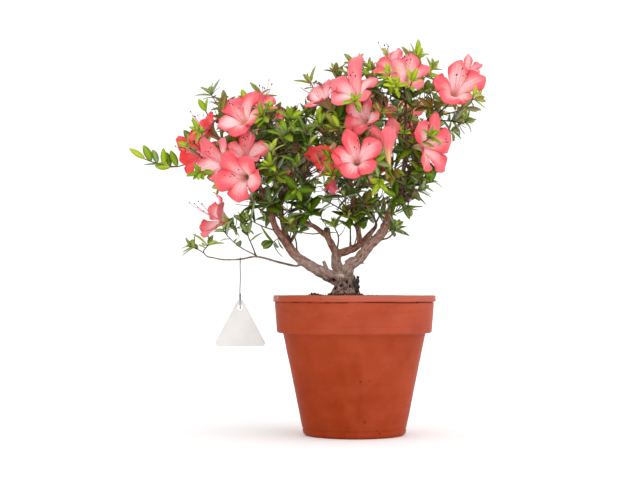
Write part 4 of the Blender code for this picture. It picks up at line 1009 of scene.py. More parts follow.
@dataclass(frozen=True)
class Clay(Finish):
    """Fired clay: orange and darker low on the left, pinker and lighter high on the right, partly as painted
    shade; with streaks, specks, a pale salt bloom that is partly a painted sheen, and a crack painted dark as
    shade.
    """

    def paint(self, graph: Graph) -> dict:
        """Return what feeds the shader's inputs.

        Args:
            graph: the material's graph.
        Returns:
            a wire, a value or a colour's code for each input.
        """
        place = graph.place()
        x, _, height = graph.parts(place)
        cloud = graph.noise(place, 16.0, 4.0)
        lean = x * 3.2 + height * 4.5 + cloud * 1.5
        drift = graph.add("CombineXYZ", {0: graph.noise(place, 9.0, 2.0) * 0.09,
                                         2: graph.noise(place, 13.0, 2.0) * 0.06})
        swirl = graph.add("VectorMath", {0: place, 1: drift}, operation="ADD")
        # The lean from dark orange low on the left to lighter pink high on the right is partly the clay's own
        # tone and partly painted shade on the left side. So is the collar's pinker overlay, which grows to
        # the right.
        base = graph.mix(lean.span(0.35, 1.9), "#963404", "#B24C2F")
        base = graph.mix(height.span(0.112, 0.116) * x.span(-0.075, 0.05, 0.05, 0.55), base, "#B9543F")
        base = graph.mix(0.5, base, graph.clouded(swirl, 26.0, "#FFFFFF", "#D2B29E", 0.26), "MULTIPLY")
        blush = graph.clouded(swirl, 47.0, base, "#BF5A40", 0.2)
        streaks = graph.noise(graph.stretched(place, 9.0, 9.0, 260.0), 1.0)
        lip = graph.mix(x.span(-0.075, 0.0), "#AE5234", "#BA6757")
        specks = graph.add("TexVoronoi", {"Vector": place, "Scale": 150.0}).span(0.28, 0.14)
        base = graph.layered(base, (x.span(-0.07, 0.0, 0.06, 0.2), blush),
                             (streaks.span(0.5, 0.75, 0.0, 0.18), "#7E3312"),
                             (height.span(0.1487, 0.1502) * 0.6, lip),
                             (specks * graph.noise(place, 47.0, 1.0).above(0.68) * 0.7, "#4A1D0C"))
        # Pale patches on the collar's far-left edge: partly salt bloom, partly a painted sheen where the clay
        # is seen at a grazing angle.
        where = height.span(0.112, 0.126) * x.span(-0.08, -0.088).scaled(0.85, 0.02)
        salts_and_sheen = graph.add("Group", {"Place": place, "Scale": 42.0, "Colour": base, "DustAndSheen": "#C9B4B4",
                                    "Where": where}, node_tree=dust_and_sheen_group())
        # The crack under the lip is painted dark brown: painted shade in the groove.
        crack_shade = graph.attribute("crack", "Fac").span(0.2, 0.8, 0.0, 0.85)
        rise = graph.noise(place, 900.0, 4.0) * 0.35 + streaks * 0.5
        return {"Base Color": graph.mix(crack_shade, salts_and_sheen, "#3C1608"),
                "Roughness": cloud.span(0.3, 0.75, 0.55, 0.75), "Normal": graph.bump(rise, 0.28, 0.0006),
                "Sheen Weight": 0.22, "Sheen Roughness": 0.28, "Sheen Tint": "#E6D6DA"}


@dataclass(frozen=True)
class Clouded(Finish):
    """Two colours in clouds, with a bump of fine noise where its strength is above zero."""

    first: str
    second: str
    scale: float
    edge: float = 0.2
    grit: float = 0.0
    grit_scale: float = 1400.0
    grit_detail: float = 5.0
    grit_depth: float = 0.0006

    def paint(self, graph: Graph) -> dict:
        """Return what feeds the shader's inputs.

        Args:
            graph: the material's graph.
        Returns:
            a wire for each input.
        """
        place = graph.place()
        values = {"Base Color": graph.clouded(place, self.scale, self.first, self.second, self.edge)}
        if self.grit:
            grains = graph.noise(place, self.grit_scale, self.grit_detail)
            values["Normal"] = graph.bump(grains, self.grit, self.grit_depth)
        return values


@dataclass(frozen=True)
class Bark(Finish):
    """Bark: grey-brown ridges on old wood, red-brown flakes on young, with dead wood and a pale scar.

    The grain follows the limbs by the attribute that holds each corner's place
    across and along its limb, and the masks hold youth, dead wood, scars and holes.
    """

    def paint(self, graph: Graph) -> dict:
        """Return what feeds the shader's inputs.

        Args:
            graph: the material's graph.
        Returns:
            a wire for each input.
        """
        grain = graph.attribute("grain", "Vector")
        young = graph.add("SeparateColor", {0: graph.attribute("wood", "Color")})
        dead, scar = young.out(1), young.out(2)
        _, _, height = graph.parts(graph.place())
        ridges = graph.noise(graph.stretched(grain, 1.0, 1.0, 0.26), 620.0, 5.0, 0.68)
        flakes = graph.noise(graph.stretched(grain, 1.0, 1.0, 0.4), 380.0, 4.0, 0.6)
        pits = graph.noise(graph.stretched(grain, 1.0, 1.0, 0.6), 210.0, 4.0).span(0.44, 0.6)
        old = graph.layered("#594640", (ridges.span(0.32, 0.56), "#B89C90"),
                            (flakes.span(0.5, 0.66, 0.0, 0.7), "#8A6252"))
        new = graph.layered("#5F3427", (ridges.span(0.34, 0.62), "#AC7C68"),
                            (flakes.span(0.52, 0.62, 0.0, 0.7), "#7E4634"))
        base = graph.layered(old, (young, new),
                             # Darker towards the trunk's foot: partly dirt, partly painted shade under the
                             # crown.
                             (height.span(0.181, 0.169) * pits.scaled(0.65, 0.22), "#4C372E"),
                             (graph.noise(grain, 160.0, 4.0).span(0.6, 0.72, 0.0, 0.45), "#C4BAB2"),
                             (dead, graph.mix(ridges.span(0.4, 0.6), "#17120F", "#5B5049")),
                             (scar, "#E2D6C6"),
                             # The holes are painted near-black: painted shade in their depth.
                             (graph.attribute("hollow", "Fac").span(0.2, 0.9), "#0E0907"))
        return {"Base Color": base, "Normal": graph.bump(ridges + flakes * 0.7, 0.75, 0.0009)}


@dataclass(frozen=True)
class LeafSkin(Finish):
    """A leaf's finish: a pale rib and veins on top, a paler underside, by the leaf's own map.

    The map's left half holds the top and its right half the underside; on each,
    the first part runs across the blade and the second from foot to tip.
    """

    tint: Tint

    def paint(self, graph: Graph) -> dict:
        """Return what feeds the shader's inputs.

        Args:
            graph: the material's graph.
        Returns:
            a wire for each input.
        """
        _, top, under = self.tint.value
        u, v, _ = graph.parts(graph.add("UVMap", uv_map=MAP_NAME))
        below = u.above(0.5)
        across = abs((u * 2.0).math("FRACT").scaled(2.0, -1.0))
        rib = across.span(0.16, 0.02)
        wave = ((v - across * 0.16) * 62.0).math("SINE")
        vein = wave.span(0.72, 1.0) * across.span(0.9, 0.2)
        face = graph.layered(top, (v.span(0.25, 0.0, 0.0, 0.5), under),
                             ((rib * 0.6).math("MAXIMUM", vein * 0.22), under))
        back = graph.mix(rib * 0.5, under, "#C3CFA4")
        return {"Base Color": graph.mix(below, face, back), "Roughness": below.span(0.0, 1.0, 0.38, 0.6),
                "Normal": graph.bump(rib + vein * 0.5, 0.35, 0.0004)}


@dataclass(frozen=True)
class PetalSkin(Finish):
    """A corolla's finish by its own map: five columns for the outside, then five for the inside.

    The map has a square for each bloom.  In each of its columns the first part runs
    across a lobe, and the second from the tube's foot to the lobe's tip.  The
    inside is pale in the throat, with veins that fan out, and three lobes bear a
    blotch of dark freckles.  How far the pale part reaches differs by lobe.
    """

    flush: Flush

    def paint(self, graph: Graph) -> dict:
        """Return what feeds the shader's inputs.

        Args:
            graph: the material's graph.
        Returns:
            a wire or a value for each input.
        """
        _, lobe, throat, margin, tube = self.flush.value
        u, v, _ = graph.parts(graph.add("UVMap", uv_map=MAP_NAME))
        wide, high = u * 4.0, v * 4.0
        u = wide.math("FRACT") * 10.0
        v = high.math("FRACT").scaled(1.0 / 0.96, -0.02 / 0.96)
        column = u.math("FLOOR")
        signed = u.math("FRACT").scaled(2.0 / 0.9, -1.0 / 0.9)
        across = abs(signed)
        square = wide.math("FLOOR").scaled(17.3, high.math("FLOOR") * 71.9)
        vein_place = graph.add("CombineXYZ", {0: signed.scaled(4.6, column * 3.7), 1: v * 1.3, 2: square})
        lobe_place = graph.add("CombineXYZ", {0: column * 5.31, 1: square})
        lobe_draw = graph.add("TexWhiteNoise", {"Vector": lobe_place}, noise_dimensions="3D")
        veins = graph.noise(vein_place, 2.2)
        fine = graph.noise(graph.stretched(vein_place, 3.2, 0.9, 1.0), 5.0, 3.0, 0.6)
        flame = v + (veins - 0.5) * 0.42 + across * 0.24 + lobe_draw.scaled(0.34, -0.14)
        dots = graph.stretched(vein_place, 0.9, 6.0, 1.0)
        freckle = graph.add("TexVoronoi", {"Vector": dots, "Scale": 1.7})
        upper = abs(column - 7.5).above(1.0)
        zone = v.span(0.36, 0.46) * v.span(0.74, 0.62) * across.span(0.62, 0.35) * upper
        inner = graph.layered(throat, (flame.span(0.45, 1.0), lobe),
                              (fine.span(0.52, 0.68, 0.0, 0.3), margin),
                              (across.span(0.45, 1.0) * v.span(0.45, 0.75) * 0.6, margin),
                              # Deep in the tube the throat turns a darker salmon: partly its own colour,
                              # partly painted shade.
                              (v.span(0.42, 0.2, 0.0, 0.85), "#F2B9A4"),
                              (across.span(0.07, 0.0) * v.span(0.35, 0.6) * 0.35, margin),
                              (freckle.span(0.32, 0.2) * zone * 0.45, "#D23358"))
        outer = graph.layered(tube, (flame.span(0.4, 0.86), lobe), (across.span(0.12, 0.0) * 0.3, margin))
        return {"Base Color": graph.mix(column.above(4.5), outer, inner),
                "Normal": graph.bump(veins, 0.25, 0.0005), "Subsurface Weight": 0.2,
                "Subsurface Radius": (0.004, 0.0015, 0.001), "Sheen Weight": 0.15}


@dataclass
class Wood:
    """The trunk, boughs and stubs: one skin with the relief of bark."""

    step: float = 1.6
    sides: int = 26
    voxel: float = 0.58
    trunk_rows: int = 26
    trunk_sides: int = 72
    trunk_lean: tuple = (2.0, -0.5, 22.0)
    trunk_heights: tuple = (-2.5, 0.0, 2.5, 6.5, 11.0, 16.0, 20.0, 22.5)
    trunk_radii: tuple = (15.4, 14.8, 13.6, 11.9, 11.0, 10.4, 8.5, 4.0)
    root_lobes: int = 5
    stump_foot: tuple = (-0.5, -4.0, 160.0)
    splinters: tuple = (((-1.8, 1.0, 17.5), 2.9), ((4.6, -0.5, 17.0), 2.3), ((3.4, -2.5, 10.0), 3.4),
                        ((0.4, -3.0, 12.5), 3.0), ((5.2, 0.5, 6.0), 2.6))
    scars: tuple = ((-16.0, 179.6, 3.0), (-13.0, 177.6, 1.8))
    holes: tuple = ((-23.4, 172.4, 3.0), (-9.3, 170.6, 2.3), (-15.5, 166.5, 1.9), (-22.0, 164.2, 2.4),
                    (-4.5, 165.5, 1.6))
    cuts: tuple = ((-30.7, 9.0, 232.0, 4.6), (-31.0, 9.0, 229.0, 3.2))
    ridge_share: float = 0.08
    fine_share: float = 0.1
    lump_share: float = 0.2
    knot_rise: float = 2.4
    hole_depth: float = 2.6
    block: int = 8000
    paths: dict[str, tuple[np.ndarray, np.ndarray]] = field(default_factory=dict)
    ends: dict[str, tuple[np.ndarray, np.ndarray, float]] = field(default_factory=dict)

    def __post_init__(self) -> None:
        """Work out every limb's curve and thickness, and the ends that bear foliage."""
        for limb in LIMBS:
            path = smooth_path(limb.points, self.step)
            share = along(path) / along(path)[-1]
            self.paths[limb.name] = (path, limb.root_radius + (limb.tip_radius - limb.root_radius) * share)
            self.ends[limb.name] = (path[-1], unit(path[-1] - path[-2]), limb.tip_radius)
        for spur in SPURS:
            start = point_along(self.paths[spur.limb][0], spur.reach)
            direction = unit(spur.direction)
            rows = np.linspace(0.0, 1.0, max(4, round(spur.length / self.step)))[:, None]
            path, radii = start + direction * spur.length * rows, spur.radius * (1.25 - 0.25 * rows[:, 0])
            if spur.bent:
                path = smooth_path(spur.bent, 0.9)
                radii = spur.radius + 0.9 * ease(0.82, 0.92, np.linspace(0.0, 1.0, len(path)))
            self.paths["spur_" + spur.name] = (path, radii)
            self.ends[spur.name] = (start + direction * spur.length, direction, spur.radius)

    def trunk(self) -> tuple[np.ndarray, np.ndarray]:
        """Return the trunk's axis and radii: root lobes, as cosines of the turn, fade upwards.

        Returns:
            the axis, and the radii as rows by sides.
        """
        heights = np.linspace(self.trunk_heights[0], self.trunk_heights[-1], self.trunk_rows)
        axis = TRUNK_FOOT + np.array(self.trunk_lean) * (heights / self.trunk_lean[2])[:, None]
        turn = round_turns(self.trunk_sides)
        fade = np.clip(1.0 - heights / 16.0, 0.0, 1.2)[:, None]
        lobes = 0.15 * fade * np.cos(self.root_lobes * turn + 2.2)
        lobes = lobes + 0.05 * np.sin(3.0 * turn + heights[:, None] * 0.22)
        return axis, np.interp(heights, self.trunk_heights, self.trunk_radii)[:, None] * (1.0 + lobes)

    def dead_wood(self) -> list[tuple[np.ndarray, np.ndarray]]:
        """Return the jagged dead stump on the trunk's right: splinters of one root.

        Returns:
            each splinter's path and radii, which swell and shrink by a sine.
        """
        foot = np.array(self.stump_foot)
        shapes = []
        for rise, radius in self.splinters:
            tip = foot + np.array(rise)
            bend = (foot + tip) / 2.0 + ALONG_X * 0.6
            path = smooth_path((foot - np.array((2.0, 0.0, 3.0)), bend, tip), 1.2)
            share = np.linspace(0.0, 1.0, len(path))
            jagged = 1.0 + 0.26 * np.sin(share * 21.0 + radius * 5.0)
            shapes.append((path, radius * (1.25 - 0.6 * share) * jagged))
        return shapes

    def soft_skin(self) -> bpy.types.Object:
        """Join all tubes and melt them into one skin, with its forks smoothed.

        Returns:
            the skin's object.
        """
        axis, radii = self.trunk()
        shapes = [tubes(axis[None], radii[None], self.trunk_sides)]
        for path, thick in itertools.chain(self.paths.values(), self.dead_wood()):
            wobble = 1.0 + 0.05 * np.sin(along(path) * 0.55 + thick[0] * 3.0)
            shapes.append(tubes(path[None], (thick * wobble)[None], self.sides))
        obj = make_piece("trunk_and_boughs", joined(shapes), Bark("bark", 0.86, 0.25).make(),
                         ("trunk", *(limb.name for limb in LIMBS)))
        melt = obj.modifiers.new("Melt", "REMESH")
        melt.mode = "VOXEL"
        melt.voxel_size = self.voxel * MM
        melt.use_smooth_shade = True
        forks = obj.modifiers.new("Ease", "SMOOTH")
        forks.factor = 0.5
        forks.iterations = 5
        apply_modifiers(obj)
        return obj

    def nearest(self, corners: np.ndarray) -> tuple[np.ndarray, ...]:
        """Find, for each corner, the limb sample whose skin it lies nearest to.

        Args:
            corners: the skin's corners.
        Returns:
            each corner's place across and along its limb, that limb's radius there,
            and how dead its wood is.
        """
        axis, radii = self.trunk()
        runs = [(axis, radii.mean(axis=1), 0.0)]
        runs += [(path, thick, 0.7 if "dead" in name else 0.0) for name, (path, thick) in self.paths.items()]
        runs += [(path, thick, 1.0) for path, thick in self.dead_wood()]
        ways = [unit(np.gradient(path, axis=0)) for path, _, _ in runs]
        centres = np.vstack([path for path, _, _ in runs])
        ahead = np.vstack(ways)
        sideways = np.vstack([carried(way[None])[0] for way in ways])
        distance = np.concatenate([along(run[0]) + 37.0 * number for number, run in enumerate(runs)])
        thick = np.concatenate([radius for _, radius, _ in runs])
        dead = np.concatenate([np.full(len(path), share) for path, _, share in runs])
        best = []
        for block in np.array_split(corners, math.ceil(len(corners) / self.block)):
            gaps = np.linalg.norm(block[:, None] - centres[None], axis=2) - thick
            best.append(gaps.argmin(axis=1))
        best = np.concatenate(best)
        offset = corners - centres[best]
        across, up = sideways[best], np.cross(ahead[best], sideways[best])
        grain = np.stack([np.sum(offset * across, axis=1), np.sum(offset * up, axis=1),
                          distance[best] + np.sum(offset * ahead[best], axis=1)], axis=1)
        return grain, thick[best], dead[best]

    @staticmethod
    def spots(corners: np.ndarray, places: tuple, power: int) -> np.ndarray:
        """Return the sum of exp(-(distance / size)^power) round places seen from the front."""
        return sum(np.exp(-(np.hypot(corners[:, 0] - x, corners[:, 2] - z) / size) ** power)
                   for x, z, size in places)

    def relief(self, corners: np.ndarray, normals: np.ndarray, mesh: bpy.types.Mesh) -> np.ndarray:
        """Raise ridges along the limbs and sink holes, and write the masks that the bark reads.

        The rise is a share of the limb's radius times ridged noise, stretched along
        the limb, plus broad lumps; a hole is a bell-shaped dent.

        Args:
            corners: the skin's corners.
            normals: their normals.
            mesh: the skin's mesh, which gets the masks.
        Returns:
            the corners, moved along their normals.
        """
        grain, thick, dead = self.nearest(corners)
        ridges = noise(5, grain / np.array((2.6, 2.6, 8.5)) + 50.0, 2)
        fine = noise(6, grain / np.array((1.3, 1.3, 3.0)) + 50.0, 2)
        rough = 0.4 + 1.2 * noise(9, corners / 7.0 + 50.0)
        lumps = noise(7, corners / 6.5 + 50.0)
        knots = noise(8, corners / np.array((4.6, 4.6, 7.0)) + 50.0, 3)
        ridged = self.ridge_share * (0.5 - np.abs(2.0 * ridges - 1.0))
        furrows = (ridged + self.fine_share * (fine - 0.5)) * rough
        rise = np.minimum(thick, 9.0) * (furrows + self.lump_share * (lumps - 0.5))
        rise *= 1.0 + 1.2 * dead
        front = ease(-0.1, -0.5, normals[:, 1])
        scar = self.spots(corners, self.scars, 4) * front
        hollow = self.spots(corners, self.holes, 2) * front
        for *middle, size in self.cuts:
            dead = np.maximum(dead, np.exp(-(np.linalg.norm(corners - np.array(middle), axis=1) / size) ** 4))
        dead = np.maximum(dead, 0.4 * ease(1.9, 1.2, thick))
        foot = ease(183.0, 168.0, corners[:, 2])
        rise = rise * (1.0 - scar) + foot * self.knot_rise * (knots - 0.5) - self.hole_depth * hollow
        young = ease(6.9, 4.3, thick) * (0.7 + 0.3 * ease(0.35, 0.6, lumps))
        young = young * ease(188.0, 204.0, corners[:, 2])
        set_values(mesh, "wood", "FLOAT_COLOR", np.stack([young, dead, scar, np.ones_like(young)], axis=1))
        set_values(mesh, "grain", "FLOAT_VECTOR", grain * MM)
        set_values(mesh, "hollow", "FLOAT", hollow)
        return corners + normals * rise[:, None]

    def build(self) -> None:
        """Make the skin, and move its corners by the relief."""
        mesh = self.soft_skin().data
        count = len(mesh.vertices)
        corners = np.empty(count * 3, np.float32)
        normals = np.empty(count * 3, np.float32)
        mesh.vertices.foreach_get("co", corners)
        mesh.vertex_normals.foreach_get("vector", normals)
        corners = corners.reshape(-1, 3).astype(float) / MM
        moved = self.relief(corners, normals.reshape(-1, 3).astype(float), mesh)
        mesh.vertices.foreach_set("co", (moved * MM).astype(np.float32).ravel())
        mesh.update()
        mesh.shade_smooth()
        LOG.info("bark skin: %d corners", count)


def clear_of_blooms(points: np.ndarray, margin: float, share: float) -> np.ndarray:
    """Tell which points neither enter an open bloom nor hide one.

    Args:
        points: the places, with their three parts along the last axis.
        margin: how much wider than its funnel a bloom's room is.
        share: the share of its radius that stays clear before it.
    Returns:
        yes or no for each place.
    """
    blocked = np.zeros(points.shape[:-1], bool)
    for bloom in ALL_BLOOMS:
        if bloom.form is not Form.BUD:
            blocked |= bloom.holds(points, margin) | bloom.hidden_by(points, share)
    return ~blocked


def in_gap(places: np.ndarray) -> np.ndarray:
    """Tell which places lie in the gaps that the crown keeps, as seen from the front."""
    return np.any([((places[:, 0] - x) / wide) ** 2 + ((places[:, 2] - z) / high) ** 2 < 1.0
                   for x, z, wide, high in GAPS], axis=0)


class Spray(NamedTuple):
    """A tuft of leaves: the twig that it ends, the light that it has and what kind it is."""

    twig: np.ndarray
    light: float
    kind: Kind


class End(NamedTuple):
    """Where a twig ends, how it arrives there, and the kind of its spray."""

    place: np.ndarray
    facing: np.ndarray
    kind: Kind = Kind.GROWN


class Fork(NamedTuple):
    """A place on a twig where others may leave: its heading, its thickness and the way so far."""

    place: np.ndarray
    heading: np.ndarray
    thick: float
    length: float


@dataclass
class Crown:
    """The crown's growth: twigs that reach their ends by the shortest way, and the sprays on them."""

    wood: Wood
    rows: int = 7
    sides: int = 6
    middle: tuple = (-30.0, 0.0, 320.0)
    half: tuple = (185.0, 95.0, 115.0)
    stem_radius: float = 1.5
    twig: tuple = (1.15, 0.75)
    fine_twig: tuple = (0.75, 0.45)
    fine_spacing: float = 20.0
    fine_tried: int = 2600
    whorls_tried: int = 60
    whorl_shares: tuple = (0.5, 0.85)
    bloom_head_start: float = 30.0
    bloom_foot_sink: float = 3.0
    length_cost: float = 0.35
    bend_cost: float = 12.0
    ways_tried: int = 6
    leans: tuple = ((0, 0, 0), (0, 1, 0), (0, -1, 0), (0, 0, -1), (0.9, 0, 0), (-0.9, 0, 0))
    bare_count: int = 1500
    bare_twig: tuple = (0.52, 0.3)
    bare_seed: int = 91
    shoot_spacing: float = 9.5
    shoot_twig: tuple = (0.85, 0.5)
    shoot_seed: int = 77
    fine_seed: int = 100
    paths: list[np.ndarray] = field(default_factory=list)
    radii: list[np.ndarray] = field(default_factory=list)
    sprays: list[Spray] = field(default_factory=list)

    def __post_init__(self) -> None:
        """Grow every mass but the one whose twigs are laid as listed, then laid twigs, shoots and bare twigs.
        """
        for mass in MASSES:
            if mass.name != "tag_rise":
                self.grow(mass)
        for laid in LAID:
            self.add_twig(evenly(smooth_path(laid.points, 2.0), self.rows), laid.root, laid.tip)
            self.add_spray(self.paths[-1][-1], laid.kind)
        self.shoot()
        self.bare_twigs()

    def add_twig(self, path: np.ndarray, root: float, tip: float) -> None:
        """Add a twig that tapers from its root to its tip."""
        self.paths.append(path)
        self.radii.append(np.linspace(root, tip, self.rows))

    def out(self, places: np.ndarray) -> np.ndarray:
        """Return how far out places are, where 1 is the crown's rounded outline."""
        return np.linalg.norm((places - np.array(self.middle)) / np.array(self.half), axis=-1)

    def add_spray(self, place: np.ndarray, kind: Kind) -> None:
        """Set a spray at the end of the last twig; outer and higher ones have more light.

        Args:
            place: where it is.
            kind: what kind it is.
        """
        light = 0.7 * self.out(place) + 0.45 * (place[2] - 300.0) / 120.0
        if kind in (Kind.HAND, Kind.COMB, Kind.FRONT):
            light = max(light, 0.8) + (0.15 if kind is Kind.FRONT and place[2] > 292.0 else 0.0)
        self.sprays.append(Spray(self.paths[-1], light, kind))

    def first_ends(self, mass: Mass) -> list[End]:
        """Return the ends that come first in a mass: blooms, sprigs, and whorls far from them.

        Args:
            mass: the mass.
        Returns:
            the ends, without the whorls that lie in a gap.
        """
        rng = random.Random("twigs of " + mass.name)
        ends = [End(bloom.foot + bloom.axis * self.bloom_foot_sink, bloom.axis, Kind.BLOOM)
                for bloom in BLOOMS.get(mass.name, ())]
        ends += [End(np.array(sprig.place, float), unit(sprig.facing), sprig.kind)
                 for sprig in SPRIGS.get(mass.name, ())]
        middle = np.array(mass.middle, float)
        for _ in range(mass.whorls):
            ways = []
            for _ in range(self.whorls_tried):
                way = unit([rng.gauss(0.0, 1.0) for _ in range(3)])
                ways.append(way * rng.uniform(*self.whorl_shares))
            places = middle + np.array(ways) * np.array(mass.half)
            places = places[mass.holds(places) & clear_of_blooms(places, 5.0, 0.95)]
            if not len(places):
                continue
            room = [np.linalg.norm(places - end.place, axis=1) for end in ends] or [np.zeros(len(places))]
            best = places[np.min(room, axis=0).argmax()]
            ends.append(End(best, unit(unit(best - middle) + UP * 0.45)))
        return [end for end in ends if end.kind is not Kind.GROWN or not in_gap(end.place[None])[0]]

    def fine_ends(self, mass: Mass, taken: list[np.ndarray]) -> list[End]:
        """Return many finer ends in a mass's space, farther apart low down and in open masses.

        Args:
            mass: the mass.
            taken: the places that the first ends have.
        Returns:
            the ends, clear of blooms and gaps.
        """
        rng = np.random.default_rng(self.fine_seed + MASSES.index(mass))
        tried = self.fine_tried
        ways = unit(rng.normal(size=(tried, 3))) * rng.uniform(0.3, 1.0, (tried, 1)) ** 0.6
        middle = np.array(mass.middle, float)
        places = middle + ways * np.array(mass.half)
        places = places[mass.holds(places) & clear_of_blooms(places, 6.0, 0.95) & ~in_gap(places)]
        chosen = []
        for place in places:
            spacing = self.fine_spacing * mass.openness * (1.0 + 0.45 * float(ease(290.0, 245.0, place[2])))
            if taken and np.linalg.norm(np.array(taken) - place, axis=1).min() < spacing:
                continue
            taken.append(place)
            chosen.append(End(place, unit(unit(place - middle) + UP * 0.5 + rng.normal(size=3) * 0.3)))
        return chosen

    def curves(self, origins: np.ndarray, leaving: np.ndarray, place: np.ndarray,
               facing: np.ndarray) -> np.ndarray:
        """Return twigs' courses: cubic curves that leave one way and arrive along another.

        With handles a = origin + 0.35 d leaving and b = place - 0.3 d facing, where d
        is the distance, the curve is o(1-t)^3 + 3at(1-t)^2 + 3bt^2(1-t) + pt^3.

        Args:
            origins: where they start.
            leaving: the ways that they leave.
            place: where they end, for all or for each.
            facing: the ways that they arrive.
        Returns:
            twigs by rows by 3.
        """
        distance = np.linalg.norm(place - origins, axis=1, keepdims=True)
        first = (origins + leaving * distance * 0.35)[:, None]
        second = (place - facing * distance * 0.3)[:, None]
        t = np.linspace(0.0, 1.0, self.rows)[None, :, None]
        place = np.broadcast_to(place, origins.shape)[:, None]
        return (origins[:, None] * (1 - t) ** 3 + first * 3 * t * (1 - t) ** 2 + second * 3 * t ** 2 * (1 - t)
                + place * t ** 3)

    def reach(self, forks: list[Fork], end: End, thickness: tuple[float, float]) -> bool:
        """Lay a twig from the fork that makes the cheapest way clear of blooms, and add its own forks.

        The cost is the distance, plus a share of the way before it, plus a share of
        the bend.  From each of the cheapest forks the twig also tries to lean aside.
        A thick twig that finds no clear way takes the least blocked one.

        Args:
            forks: every fork so far, to which the twig's are added.
            end: where the twig ends.
            thickness: its radius at root and tip.
        Returns:
            whether the twig was laid.
        """
        origins = np.array([fork.place for fork in forks])
        headings = np.array([fork.heading for fork in forks])
        lengths = np.array([fork.length for fork in forks])
        way = end.place - origins
        far = np.linalg.norm(way, axis=1)
        bend = 1.0 - np.sum(way * headings, axis=1) / np.maximum(far, 1e-6)
        order = (far + self.length_cost * lengths + self.bend_cost * bend).argsort()[:self.ways_tried]
        leans = np.tile(np.array(self.leans, float), (len(order), 1))
        order = np.repeat(order, len(self.leans))
        leaving = unit(headings[order] + unit(way[order]) + leans)
        paths = self.curves(origins[order], leaving, end.place, unit(end.facing - 0.6 * leans))
        blocked = (~clear_of_blooms(paths[:, 1:-1], 0.0, 0.8)).sum(axis=1)
        best = int(blocked.argmin())
        root, tip = thickness
        is_fine = root < self.twig[0]
        if blocked[best] and is_fine:
            return False
        path = paths[best]
        source = forks[int(order[best])]
        self.add_twig(path, min(root, source.thick * 0.95), min(tip, source.thick * 0.9))
        for share in ((0.35, 0.7) if is_fine else (0.2, 0.53, 0.87)):
            row = int(share * (self.rows - 1))
            heading = unit(path[row + 1] - path[max(row - 1, 0)])
            thick = float(self.radii[-1][row])
            forks.append(Fork(path[row], heading, thick, source.length + along(path)[row]))
        return True

    def grow(self, mass: Mass) -> None:
        """Grow one mass: its stem, its first twigs, and then the finer ones.

        Args:
            mass: the mass.
        """
        start, direction, radius = self.wood.ends[mass.bearer]
        thick = min(self.stem_radius, radius) * 0.85
        stem_end = start + direction * 6.0 + unit(np.array(mass.middle) - start) * 5.0
        course = smooth_path((start - direction * 2.0, start + direction * 5.0, stem_end), 2.5)
        stem = evenly(course, self.rows)
        self.add_twig(stem, radius, thick)
        forks = [Fork(stem[-1], unit(stem[-1] - stem[0]), thick, 0.0)]

        def order(end: End) -> float:
            """Return an end's distance from the stem, less a head start for blooms."""
            return np.linalg.norm(end.place - stem_end) - self.bloom_head_start * (end.kind is Kind.BLOOM)

        ends = sorted(self.first_ends(mass), key=order)
        for end in ends:
            self.reach(forks, end, self.twig)
            self.add_spray(end.place, end.kind)
        for end in sorted(self.fine_ends(mass, [end.place for end in ends]), key=order):
            if self.reach(forks, end, self.fine_twig):
                self.add_spray(end.place, end.kind)

    def shoot(self) -> None:
        """Let thin shoots rise along the limbs, mostly outwards and up, each with a few leaves."""
        rng = np.random.default_rng(self.shoot_seed)
        for name, distance in SHOOT_LIMBS.items():
            path, radii = self.wood.paths[name]
            way = along(path)
            while distance < way[-1] - 4.0:
                row = int(np.searchsorted(way, distance))
                ahead = unit(path[min(row + 2, len(path) - 1)] - path[max(row - 2, 0)])
                aside = square_to(ahead, rng.normal(size=3))
                leaving = unit(aside + ahead * 0.5 + UP * 0.2)
                length = rng.uniform(20.0, 44.0)
                facing = unit(leaving + UP * 0.7 + rng.normal(size=3) * 0.2)
                place = path[row] + unit(leaving + facing) * length
                shoot = self.curves((path[row] + leaving * radii[row] * 0.4)[None], leaving, place, facing)[0]
                if clear_of_blooms(shoot, 3.0, 0.9).all() and not in_gap(place[None])[0]:
                    self.add_twig(shoot, *self.shoot_twig)
                    self.add_spray(place, Kind.SHOOT)
                distance += self.shoot_spacing * rng.uniform(0.6, 1.4)

    def bare_twigs(self) -> None:
        """Let many thin bare twigs leave the twigs inside the crown, each about a leaf long or two."""
        rng = np.random.default_rng(self.bare_seed)
        count = self.bare_count
        paths = np.array(self.paths)
        chosen = rng.integers(0, len(paths), count)
        rows = rng.integers(1, self.rows - 1, count)
        origins = paths[chosen, rows]
        ahead = unit(paths[chosen, rows + 1] - paths[chosen, rows - 1])
        leaving = unit(square_to(ahead, rng.normal(size=(count, 3))) + 0.6 * ahead)
        facing = unit(leaving + UP * 0.5 + rng.normal(size=(count, 3)) * 0.5)
        places = origins + unit(leaving + facing) * rng.uniform(9.0, 26.0, (count, 1))
        twigs = self.curves(origins, leaving, places, facing)
        keep = (self.out(places) < 0.92) & clear_of_blooms(twigs, 2.0, 0.85).all(axis=1) & ~in_gap(places)
        keep &= places[:, 2] > 232.0 + rng.uniform(0.0, 46.0, count)
        for twig in twigs[keep]:
            self.add_twig(twig, *self.bare_twig)

    def build(self) -> None:
        """Make the twigs as one piece."""
        skin = Clouded("twig_bark", 0.75, 0.3, "#44281C", "#80604F", 260.0, 0.14, 0.4, 1500.0, 3.0, 0.0004)
        surface = tubes(np.array(self.paths), np.array(self.radii), self.sides)
        make_piece("twigs", surface, skin.make(), FOLIAGE)


